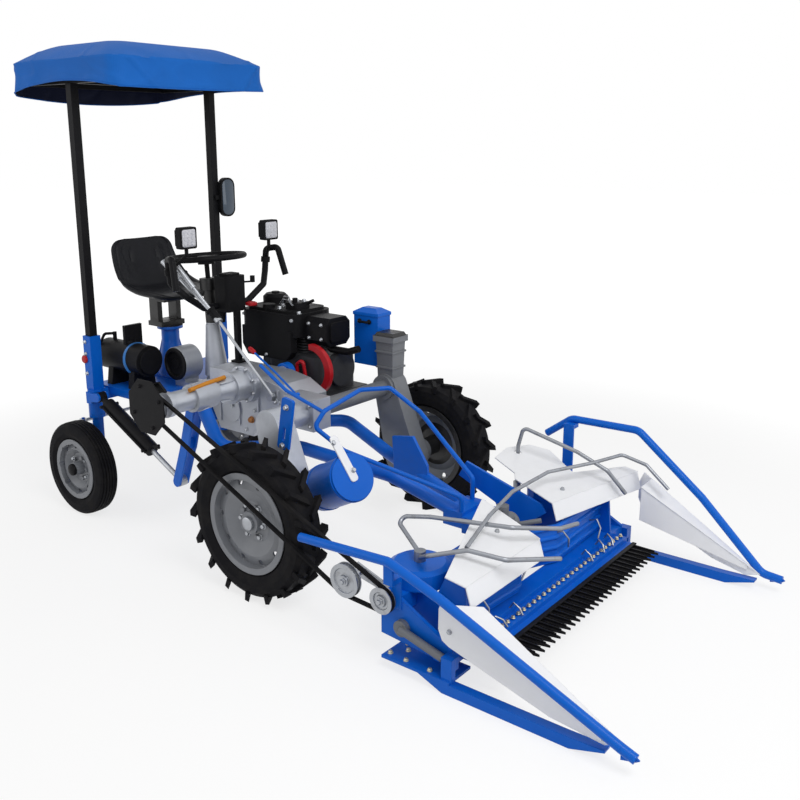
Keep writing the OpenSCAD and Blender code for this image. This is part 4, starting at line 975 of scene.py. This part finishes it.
@dataclass
class Canopy:
    """Fitted cloth over the roof frame: a low hipped crown and a loose valance with a scalloped hem."""

    corner: float = 0.075
    valance: float = 0.145
    crown_in: Pair = (0.19, 0.15)
    # The hem's height over the solid's lower edge along each side: its first corner, middle and last corner
    hem_right: Triple = (0.0, 0.050, 0.015)
    hem_left: Triple = (-0.010, 0.030, 0.025)
    hem_rear: Triple = (0.0, -0.034, -0.010)
    hem_front: Triple = (0.015, 0.015, 0.025)
    hem_radius: float = 0.003
    hem_turned: float = 0.06
    # Pulled folds down the front side: where each leaves the eaves and where it meets the hem, along Y
    front_folds: tuple[Pair, ...] = ((-0.385, -0.24), (0.38, 0.27))
    front_share: float = 0.97
    fold_depth: float = 0.010
    fold_width: float = 0.014
    # The cloth keeps this far inside the sides and the top of its solid
    inset: float = 0.004
    roof_bend: float = 1.35
    roof_crease: float = 0.010
    valance_crease: float = 0.009
    flare: float = 0.004
    sag: float = 0.006
    # Slack cloth: soft swells by their lumps to the metre, and thin ridges where a noise passes zero
    swell: float = 0.6
    swell_scale: float = 7.0
    ridge: float = 3.6
    ridge_half: float = 0.14
    crown_shares: tuple[float, ...] = (0.12, 0.3, 0.5, 0.7, 0.85)
    crown_lump: float = 0.003
    crown_scale: float = 6.0
    around: int = 240
    roof_rings: int = 22
    valance_rings: int = 16
    thickness: float = 0.0016

    def __post_init__(self) -> None:
        """Takes the cloth's room from its solid."""
        self.low, self.high = (Vector(c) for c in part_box("canopy"))
        self.middle = (self.low + self.high) / 2
        self.half = (self.high - self.low) / 2 - Vector((self.inset, self.inset, 0.0))

    def _ring(self, share: float, height: float) -> list[Vector]:
        """An outline of the roof.

        Args:
            share: 0 for the crown's, 1 for the eaves'.
            height: where it lies.

        Returns:
            Its points.
        """
        shrink = 1 - share
        x = self.half.x - self.crown_in[0] * shrink
        y = self.half.y - self.crown_in[1] * shrink
        return [Vector((self.middle.x + px, self.middle.y + py, height))
                for px, py in round_rectangle(x, y, self.corner, self.around)]

    def _hem(self, p: Vector) -> float:
        """The hem's height.

        Args:
            p: a point of the eaves.

        Returns:
            The height of the hem below it.
        """
        u, v = (p.x - self.middle.x) / self.half.x, (p.y - self.middle.y) / self.half.y
        if abs(v) >= abs(u):
            side, t = (self.hem_left if v > 0 else self.hem_right), u
        else:
            side, t = (self.hem_front if u > 0 else self.hem_rear), v
        first, middle, last = side
        return self.low.z + first * t * (t - 1) / 2 + middle * (1 - t * t) + last * t * (t + 1) / 2

    def _fold(self, p: Vector, share: float) -> float:
        """How far a point of the valance stands out on the front's pulled folds.

        Args:
            p: the point.
            share: 0 at the eaves, 1 at the hem.

        Returns:
            The distance outwards.
        """
        if p.x - self.middle.x < self.half.x * self.front_share:
            return 0.0
        return self.fold_depth * sum(hump(p.y - top - (foot - top) * share, self.fold_width)
                                     for top, foot in self.front_folds)

    def _crease(self, p: Vector, way: Vector, depth: float) -> Vector:
        """Moves a point in and out as slack cloth lies, on soft swells and thin sharp ridges.

        Args:
            p: the point on the smooth form.
            way: outwards.
            depth: the folds' size here.

        Returns:
            The creased point.
        """
        soft = noise.noise(p * self.swell_scale + Vector((3.1, 0.4, 1.7)))
        slanted = Vector((p.x * 5.0 + p.z * 6.0, p.y * 5.0 - p.z * 5.0, p.z * 2.0))
        sharp = max(self.ridge_half - abs(noise.noise(slanted + Vector((0, 5, 9)))), 0)
        return p + way * depth * (self.swell * soft + self.ridge * sharp)

    def _rings(self) -> list[list[Vector]]:
        """The roof's and the valance's outlines.

        Returns:
            The rings from the crown to the hem.
        """
        eaves = self.low.z + self.valance
        rise = self.high.z - eaves - self.inset
        rings = []
        for i in range(self.roof_rings + 1):
            share = i / self.roof_rings
            ring = self._ring(share, eaves + rise * (1 - share ** self.roof_bend))
            rings.append([self._crease(p, Vector((0, 0, 1)), self.roof_crease * share) for p in ring])
        for i in range(1, self.valance_rings + 1):
            share = i / self.valance_rings
            ring = []
            for p in self._ring(1.0, 0.0):
                hem = self._hem(p)
                out = Vector((p.x - self.middle.x, p.y - self.middle.y, 0)).normalized()
                p.z = eaves + (hem - eaves) * share
                flare = self.flare * share - self.sag * math.sin(math.pi * share) + self._fold(p, share)
                ring.append(self._crease(p + out * flare, out, self.valance_crease * (0.4 + share)))
            rings.append(ring)
        return rings

    def _crown(self, first: Sequence[Vector]) -> list[list[Vector]]:
        """Rings that close the crown.

        Args:
            first: the roof's first ring.

        Returns:
            The rings towards its middle, the innermost first.
        """
        centre = sum(first, Vector()) / len(first)
        rings = []
        for share in self.crown_shares:
            ring = [centre.lerp(p, share) for p in first]
            for p in ring:
                p.z += self.crown_lump * noise.noise(p * self.crown_scale)
            rings.append(ring)
        return rings

    def build(self) -> None:
        """Makes the cloth and its hem."""
        rings = self._rings()
        crown = self._crown(rings[0])
        cloth = Shape()
        cloth.ring_surface([*crown, *rings])
        top = len(cloth.verts)
        cloth.verts.append(sum(crown[0], Vector()) / len(crown[0]))
        cloth.faces += [(top, (i + 1) % self.around, i) for i in range(self.around)]
        piece = cloth.done("canopy_cloth", Finish.CANVAS, "carrier", 70.0)
        piece.data.materials.append(Finish.LINING.material)
        self._face_out(piece.data)
        thick = piece.modifiers.new("thickness", "SOLIDIFY")
        thick.thickness = self.thickness
        thick.offset = -1.0
        thick.material_offset = 1
        hem = Shape()
        hem.tube([*rings[-1], rings[-1][0]], self.hem_radius, 6)
        edge = hem.done("canopy_hem", Finish.CANVAS, "carrier")
        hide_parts("canopy")

    @staticmethod
    def _face_out(mesh: bpy.types.Mesh) -> None:
        """Turns the faces outwards, so the lining lies inside."""
        if max(mesh.polygons, key=lambda face: face.center.z).normal.z < 0:
            mesh.flip_normals()


@dataclass
class Seat:
    """Moulded bucket seat: one closed pad from the front lip over the cushion and up the back."""

    half_width: float = 0.213
    along: int = 84
    around: int = 112
    end_round: float = 0.085
    end_rows: int = 9
    # The back narrows from this share of the length on, by this share of its width
    taper_from: float = 0.6
    taper: float = 0.14
    # The raised sides: their height everywhere, what is added at the bend, and where and how far that is
    wing_base: float = 0.014
    wing: float = 0.050
    wing_at: float = 0.5
    wing_spread: float = 0.2
    wing_power: float = 3.0
    # The section's roundness across and through the pad, and its shares of the thickness: at the ends
    # and added between them
    across_power: float = 0.5
    through_power: float = 0.75
    end_share: float = 0.08
    run_share: float = 0.42
    # The pleats' places across the back, and where they start, end and stop short of the sides
    pleats: tuple[float, ...] = (-0.60, -0.36, -0.12, 0.12, 0.36, 0.60)
    pleat_deep: float = 0.010
    pleat_half: float = 0.045
    pleat_wave: float = 0.06
    wave_turn: float = 15.0
    wave_step: float = 4.0
    pleat_start: Pair = (0.58, 0.08)
    pleat_end: Pair = (0.95, 0.06)
    pleat_side: Pair = (0.84, 0.12)
    seam_at: float = 0.86
    seam_half: float = 0.03
    seam_deep: float = 0.006
    # Middle line of the pad from the front lip to the top of the back: x, z and thickness, in millimetres
    # from the front axle
    side_view: tuple[Triple, ...] = (
        (-1050, 1062, 30), (-1110, 1068, 36), (-1200, 1066, 38), (-1296, 1064, 38), (-1376, 1074, 38),
        (-1418, 1108, 38), (-1438, 1160, 36), (-1452, 1215, 34), (-1467, 1272, 32), (-1481, 1330, 28))

    def _station(self, share: float) -> tuple[Vector, Vector, float]:
        """A place on the pad's middle line, on a smooth curve through its points.

        Args:
            share: 0 at the front lip, 1 at the top of the back.

        Returns:
            The point, its upward normal and the pad's thickness.
        """
        points = [at(x, thick, z) for x, z, thick in self.side_view]
        spans = len(points) - 1
        place = min(share * spans, spans - 1e-6)
        i = int(place)
        t = place - i
        p = [points[max(0, min(spans, i + k))] for k in (-1, 0, 1, 2)]
        bend = (2 * p[0] - 5 * p[1] + 4 * p[2] - p[3], 3 * p[1] - p[0] - 3 * p[2] + p[3])
        here = 0.5 * (2 * p[1] + (p[2] - p[0]) * t + bend[0] * t * t + bend[1] * t ** 3)
        slope = (p[2] - p[0]) + 2 * bend[0] * t + 3 * bend[1] * t * t
        way = Vector((slope.x, 0, slope.z)).normalized()
        return Vector((here.x, 0, here.z)), Vector((way.z, 0, -way.x)), here.y

    def _pleat(self, share: float, side: float) -> float:
        """Depth of the stitched waves on the back's face.

        Args:
            share: the place along the pad.
            side: the place across it, from -1 to 1.

        Returns:
            The depth.
        """
        fade = ramp(share - self.pleat_start[0], self.pleat_start[1])
        fade *= ramp(self.pleat_end[0] - share, self.pleat_end[1])
        fade *= ramp(self.pleat_side[0] - abs(side), self.pleat_side[1])
        depth = 0.0
        for line in self.pleats:
            sway = self.pleat_wave * math.sin(share * self.wave_turn + line * self.wave_step)
            depth += hump(side - line - sway, self.pleat_half)
        return fade * depth * self.pleat_deep

    def _ring(self, share: float, close: float) -> list[Vector]:
        """A closed section across the pad.

        Args:
            share: 0 at the front lip, 1 at the top of the back.
            close: 1 in the pad's run, falling to 0 where its ends round off.

        Returns:
            The section's points.
        """
        here, up, thick = self._station(share)
        taper = 1 - self.taper * max(0.0, share - self.taper_from) / (1 - self.taper_from)
        width = self.half_width * taper - self.end_round * (1 - close)
        wing = self.wing * hump(share - self.wing_at, self.wing_spread) + self.wing_base
        half = thick * (self.end_share + self.run_share * close)
        ring = []
        for k in range(self.around):
            turn = math.tau * k / self.around
            side = math.copysign(abs(math.cos(turn)) ** self.across_power, math.cos(turn))
            depth = math.copysign(abs(math.sin(turn)) ** self.through_power, math.sin(turn))
            lift = wing * abs(side) ** self.wing_power + depth * half
            if depth > 0:
                lift -= self._pleat(share, side) * depth
                lift -= self.seam_deep * hump(abs(side) - self.seam_at, self.seam_half) * close
            ring.append(here + up * lift + Vector((0, side * width, 0)))
        return ring

    def build(self) -> None:
        """Makes the padded seat."""
        rings = []
        for i in range(self.along + 1):
            share = i / self.along
            end = min(share, 1 - share) * self.along / self.end_rows
            rings.append(self._ring(share, math.sqrt(1 - (1 - min(1.0, end)) ** 2)))
        pad = Shape()
        pad.ring_surface(rings, caps=True)
        piece = pad.done("seat_padding", Finish.VINYL, "carrier", 60.0)
        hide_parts("seat")


@dataclass
class Lamps:
    """Square work lamps: a lens with rows of emitters in each housing."""

    places: Run = ((-781, -240, 1390), (-781, 285, 1390))
    lens_half: Pair = (0.038, 0.040)
    lens_corner: float = 0.008
    lens_steps: Profile = ((0.0, 1.0), (0.003, 1.0), (0.005, 0.94))
    cup: Profile = ((0.0095, 0), (0.0095, 0.0014), (0.0075, 0.0016), (0.002, 0.0006))
    cup_pitch: Pair = (0.023, 0.024)

    def build(self) -> None:
        """Makes the lenses and their emitters' rims."""
        outline = round_rectangle(*self.lens_half, self.lens_corner, 40)
        for name, centre in zip(("right", "left"), points_of(self.places)):
            lens = Shape()
            lens.pane(centre, outline, self.lens_steps)
            lens.done(f"lamp_lens_{name}", Finish.LENS, "carrier")
            cups = Shape()
            for row in (-1, 0, 1):
                for column in (-1, 0, 1):
                    seat = (self.lens_steps[-1][0], column * self.cup_pitch[0], row * self.cup_pitch[1])
                    cups.turned(self.cup, centre + Vector(seat), Way.FORWARD.value, 14)
            cups.done(f"lamp_cups_{name}", Finish.LENS, "carrier")


@dataclass
class Mirror:
    """Glass in the oval mirror on the left post."""

    half: Pair = (0.040, 0.095)
    corner: float = 0.036
    from_left: float = 0.050
    steps: Profile = ((0.0, 1.0), (0.0015, 1.0), (0.0025, 0.95))

    def build(self) -> None:
        """Makes the glass, set on the housing's face."""
        low, high = (Vector(c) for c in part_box("mirror"))
        centre = Vector((high.x, high.y - self.from_left, (low.z + high.z) / 2))
        glass = Shape()
        glass.pane(centre, round_rectangle(*self.half, self.corner, 48), self.steps)
        glass.done("mirror_face", Finish.MIRROR, "carrier")


def seat_on(node: str, spot: Spot, way: Way) -> tuple[Vector, Vector] | None:
    """Where a line meets a node's solid.

    Args:
        node: the solid's name.
        spot: where the line starts.
        way: its direction.

    Returns:
        The point and the surface's normal there, or None where the line misses.
    """
    hit, point, normal, _ = frame["nodes"][node].ray_cast(at(*spot), Vector(way.value))
    return (point, normal) if hit else None


@dataclass(frozen=True)
class BoltSet:
    """Like fasteners in one mesh, each driven from a spot onto the same solid."""

    name: str
    node: str
    way: Way
    size: float
    spots: Run
    body: str = "carrier"
    finish: Finish = Finish.STEEL
    slot: str = "bright_steel"

    def build(self) -> None:
        """Makes the heads that meet the solid."""
        heads = Shape()
        for spot in self.spots:
            found = seat_on(self.node, spot, self.way)
            if found:
                heads.bolt(*found, self.size)
        if heads.verts:
            heads.done(self.name, self.finish, self.body)


@dataclass(frozen=True)
class Button:
    """A turned form that is set from a spot onto a solid."""

    name: str
    node: str
    way: Way
    spot: Spot
    profile: Profile
    finish: Finish
    slot: str
    body: str = "carrier"
    sides: int = 28

    def build(self) -> None:
        """Makes the form if its line meets the solid."""
        found = seat_on(self.node, self.spot, self.way)
        if found:
            form = Shape()
            form.turned(self.profile, *found, self.sides)
            form.done(self.name, self.finish, self.body)


@dataclass(frozen=True)
class Hub:
    """The nuts and cap on an axle's wheels; the axle's place and the nuts' circle are in millimetres."""

    axle: str
    x: float
    z: float
    nut_size: float
    nut_circle: float
    nuts: int
    first: float
    cap_finish: Finish
    cap_slot: str


@dataclass
class Fasteners:
    """Bolts, nuts, plugs and hub caps."""

    sets: tuple[BoltSet, ...] = (
        BoltSet("knife_bolts", "cutter_bar", Way.DOWN, 0.019,
                tuple((1040, -590.95 + 38.1 * i, 300) for i in range(32)), "head", Finish.ZINC),
        BoltSet("skid_bolts", "skids", Way.DOWN, 0.020,
                over(75, (758, -690), (772, -606), (800, -640), (832, -696), (935, -696), (968, -640),
                     (758, 690), (772, 606), (800, 640), (832, 696), (935, 696), (968, 640)),
                "head", Finish.ZINC),
        BoltSet("gearbox_bolts", "gearbox", Way.LEFT, 0.022,
                beside(-420, (-312, 676), (-312, 610), (-595, 611), (-456, 609), (-520, 505), (-420, 530),
                       (-340, 560), (-198, 716), (-52, 716), (-198, 622), (-52, 622), (-700, 640),
                       (-820, 640), (-940, 640))),
        BoltSet("boss_bolts", "gearbox", Way.LEFT, 0.018, circle((-495, -360, 735), 80, 8, math.pi / 8)),
        BoltSet("oil_plug", "gearbox", Way.LEFT, 0.034, beside(-420, (-480, 560)), finish=Finish.BRASS),
        BoltSet("shroud_bolts", "engine_shroud", Way.LEFT, 0.018,
                beside(-20, (-818, 806), (-650, 800), (-485, 806), (-818, 985), (-485, 985))),
        BoltSet("head_bolts", "engine_shroud", Way.DOWN, 0.026,
                over(1200, (-640, 210), (-545, 215), (-520, 240), (-600, 150), (-480, 160))),
        BoltSet("muffler_bolts", "engine_muffler", Way.LEFT, 0.018,
                beside(0, (-430, 900), (-350, 900), (-430, 970), (-350, 970))),
        BoltSet("post_bolts", "main_frame", Way.LEFT, 0.020,
                beside(-700, (-1362, 800), (-1362, 700), (-1362, 860))),
        BoltSet("guard_bolts", "pto_guard", Way.LEFT, 0.018, circle((-517, -900, 741), 92, 4, 0.4),
                finish=Finish.BLACK, slot="black_paint"),
        BoltSet("divider_bolts", "divider_right", Way.LEFT, 0.020,
                beside(-900, (1588, 76), (1020, 230)), "head"),
        BoltSet("twine_arm_bolts", "twine_arm", Way.BACK, 0.022,
                ((600, -393, 558), (600, -433, 667)), "head"),
        BoltSet("shield_bolt_right", "shield_right", Way.DOWN, 0.020, over(600, (913, -243)), "head"),
        BoltSet("shield_bolt_left", "shield_left", Way.DOWN, 0.020, over(600, (913, 266)), "head"),
        BoltSet("pulley_bolts", "head_pulleys", Way.LEFT, 0.026,
                beside(-900, (548, 268), (720, 243)), "head"))
    hubs: tuple[Hub, ...] = (
        Hub("front", 0, 332, 0.026, 70, 6, 0.0, Finish.STEEL, "bright_steel"),
        Hub("rear", -1350, 235, 0.022, 58, 4, math.pi / 4, Finish.BLACK, "black_paint"))
    hub_cap: Profile = ((0.030, 0), (0.030, 0.008), (0.0276, 0.014), (0.018, 0.018), (0.003, 0.019))
    # Nuts and caps are driven inwards from this far outside the middle plane, in millimetres
    outside: float = 900

    def build(self) -> None:
        """Makes every set, then each side's nuts and caps."""
        for bolts in self.sets:
            bolts.build()
        for side, way, y in (("right", Way.LEFT, -self.outside), ("left", Way.RIGHT, self.outside)):
            for hub in self.hubs:
                BoltSet(f"{hub.axle}_nuts_{side}", f"rim_{hub.axle}_{side}", way, hub.nut_size,
                        circle((hub.x, y, hub.z), hub.nut_circle, hub.nuts, hub.first),
                        f"wheel_{hub.axle}_{side}").build()
            for hub in self.hubs:
                Button(f"{hub.axle}_cap_{side}", f"rim_{hub.axle}_{side}", way, (hub.x, y, hub.z),
                       self.hub_cap, hub.cap_finish, hub.cap_slot, f"wheel_{hub.axle}_{side}").build()


@dataclass
class Tines:
    """Short sprung wires that keep the cut crop off the throat guides and the knife bar."""

    thick: float = 0.004
    # Each wire from its root to its tip, on the left half; the right half mirrors it
    wires: tuple[Run, ...] = (
        ((953, 147, 274), (985, 150, 284), (1002, 168, 250), (992, 188, 205)),
        ((953, 455, 222), (988, 452, 236), (1010, 445, 204), (1006, 433, 160)),
        ((1000, 415, 130), (1020, 414, 162), (1045, 402, 152), (1058, 392, 124)),
        ((1000, 500, 130), (1020, 498, 160), (1045, 488, 148), (1058, 478, 124)),
        ((1000, 290, 130), (1020, 288, 162), (1045, 286, 148), (1058, 285, 124)))

    def build(self) -> None:
        """Makes the wires of both halves."""
        for side, sign in (("left", 1), ("right", -1)):
            tines = Shape()
            for wire in self.wires:
                tines.tube([at(x, sign * y, z) for x, y, z in wire], self.thick, 10)
            tines.done(f"throat_tines_{side}", Finish.STEEL, "head")


@dataclass
class LeverTrim:
    """The dark joint that the two hand levers share, and the throttle rod with its red handle."""

    knee: Spot = (-671, -200, 1036)
    ends: Run = ((-984, -236, 1267), (-861, -252, 1254))
    joint: Profile = ((0.004, -0.034), (0.016, -0.032), (0.019, -0.026), (0.019, 0.022), (0.023, 0.026),
                      (0.023, 0.036), (0.004, 0.038))
    rod: Run = ((-524, -100, 863), (-330, -150, 802), (-150, -206, 744))
    rod_radius: float = 0.005
    eye: Profile = ((0.009, -0.012), (0.009, 0.012))
    handle: Profile = ((0.004, -0.01), (0.011, 0.0), (0.012, 0.03), (0.009, 0.044), (0.002, 0.048))

    def build(self) -> None:
        """Makes the lever trim."""
        knee = at(*self.knee)
        joint = Shape()
        joint.turned(self.joint, knee, sum((end - knee for end in points_of(self.ends)), Vector()), 24)
        joint.done("lever_joint", Finish.PLASTIC, "carrier")
        path = points_of(self.rod)
        rod = Shape()
        rod.tube(path, self.rod_radius, 12)
        rod.turned(self.eye, path[-1], Way.LEFT.value, 16)
        rod.done("throttle_rod", Finish.BLUE, "carrier")
        handle = Shape()
        handle.turned(self.handle, path[0], path[0] - path[1], 18)
        handle.done("throttle_handle", Finish.RED, "carrier")


@dataclass
class Bracket:
    """Slotted blue bar bolted to the side of the right drop case."""

    top: Spot = (42, -440.5, 812)
    foot: Spot = (4, -440.5, 592)
    half_width: float = 0.031
    thick: float = 0.014
    corner: float = 0.006
    slot_half: Pair = (0.030, 0.007)
    slot_corner: float = 0.0068
    # Places along the bar from its middle
    slot_at: float = -0.045
    bolts_at: Pair = (-0.095, 0.075)
    bolt_size: float = 0.026

    def build(self) -> None:
        """Makes the bar as a frame round its slot, with its bolts."""
        high, low = at(*self.top), at(*self.foot)
        along = (high - low).normalized()
        side = Vector((along.z, 0, -along.x))
        out = Vector((0, -self.thick, 0))
        middle, half = (high + low) / 2, (high - low).length / 2
        outer = [middle + along * length + side * width
                 for length, width in round_rectangle(half, self.half_width, self.corner, 48)]
        slot = [middle + along * (length + self.slot_at) + side * width
                for length, width in round_rectangle(*self.slot_half, self.slot_corner, 48)]
        bar = Shape()
        bar.ring_surface([slot, outer, [p + out for p in outer], [p + out for p in slot], slot])
        bar.done("slotted_bar", Finish.BLUE, "carrier")
        bolts = Shape()
        for place in self.bolts_at:
            bolts.bolt(middle + along * place + out, Way.RIGHT.value, self.bolt_size)
        bolts.done("slotted_bar_bolts", Finish.STEEL, "carrier")


@dataclass
class TankTrim:
    """Strap round the rear tank and the reflector on the rear post."""

    strap_at: Spot = (-1196, -258, 763)
    strap_axis: Triple = (1.0, 0.0, 0.16)
    strap: Profile = ((0.0825, -0.009), (0.0845, -0.009), (0.0845, 0.009), (0.0825, 0.009))
    reflector: Button = Button("reflector", "main_frame", Way.LEFT, (-1372, -700, 772),
                               ((0.021, 0), (0.021, 0.006), (0.017, 0.010), (0.002, 0.011)),
                               Finish.RED, "red_paint", sides=24)

    def build(self) -> None:
        """Makes the strap and the reflector."""
        strap = Shape()
        strap.turned(self.strap, at(*self.strap_at), self.strap_axis, 64)
        strap.done("tank_strap", Finish.PALE_BLUE, "carrier")
        self.reflector.build()


@dataclass
class EngineTrim:
    """Filler cap and injector pipes on the engine, the clutch drum's plate and the orange drive lever."""

    cap: Button = Button("filler_cap", "engine_shroud", Way.DOWN, (-790, 140, 1300),
                         ((0.030, 0), (0.031, 0.006), (0.029, 0.014), (0.018, 0.018), (0.002, 0.019)),
                         Finish.RED, "red_paint")
    drum: Spot = (-1022, -165, 746)
    plate: Profile = ((0.081, 0.0), (0.081, 0.007), (0.075, 0.010), (0.063, 0.010), (0.055, -0.014),
                      (0.032, -0.014), (0.027, 0.002), (0.003, 0.003))
    lever: Run = ((-462, -540, 783), (-468, -440, 792), (-474, -330, 797))
    lever_radius: float = 0.010
    pipes: tuple[Run, ...] = (
        ((-640, 190, 1040), (-610, 185, 1066), (-560, 170, 1070), (-520, 160, 1048)),
        ((-650, 220, 1038), (-620, 205, 1078), (-575, 190, 1082), (-545, 172, 1062)))
    pipe_radius: float = 0.004

    def build(self) -> None:
        """Makes the cap, the plate, the lever and the pipes."""
        self.cap.build()
        plate = Shape()
        plate.turned(self.plate, at(*self.drum), Way.RIGHT.value, 48)
        plate.done("clutch_plate", Finish.BLACK, "carrier")
        lever = Shape()
        lever.tube(points_of(self.lever), self.lever_radius, 12)
        lever.done("cross_drive_lever", Finish.ORANGE, "carrier")
        pipes = Shape()
        for path in self.pipes:
            pipes.tube(points_of(path), self.pipe_radius, 10)
        pipes.done("injector_pipes", Finish.STEEL, "carrier")


@dataclass
class BoxHandle:
    """Loop handle on the tool box's side."""

    middle: Spot = (-244, 370, 972)
    half: float = 0.030
    stand: float = 0.016
    radius: float = 0.0065
    steps: int = 16
    # How steeply the loop leaves its feet before it runs level
    rise: float = 1.6
    foot: Profile = ((0.012, 0), (0.012, 0.003), (0.009, 0.005))

    def build(self) -> None:
        """Makes the loop and its feet."""
        centre = at(*self.middle)
        turns = [math.pi * i / self.steps for i in range(self.steps + 1)]
        loop = Shape()
        loop.tube([centre + Vector((-self.half * math.cos(turn),
                                    -self.stand * min(1.0, self.rise * math.sin(turn)), 0))
                   for turn in turns], self.radius, 12)
        for end in (-self.half, self.half):
            loop.turned(self.foot, centre + Vector((end, 0, 0)), Way.RIGHT.value, 18)
        loop.done("tool_box_handle", Finish.PLASTIC, "carrier")


def main() -> None:
    """Builds the studio and every class of the machine in order."""
    logging.basicConfig(level=logging.INFO, format="%(message)s")
    Studio().build()
    FrameFinishes().dress()
    for assembly in (Canopy(), Seat(), Lamps(), Mirror(), Fasteners(), Tines(), LeverTrim(), Bracket(),
                     TankTrim(), EngineTrim(), BoxHandle()):
        assembly.build()
        log.info("built %s", type(assembly).__name__)


if __name__ == "__main__":
    main()
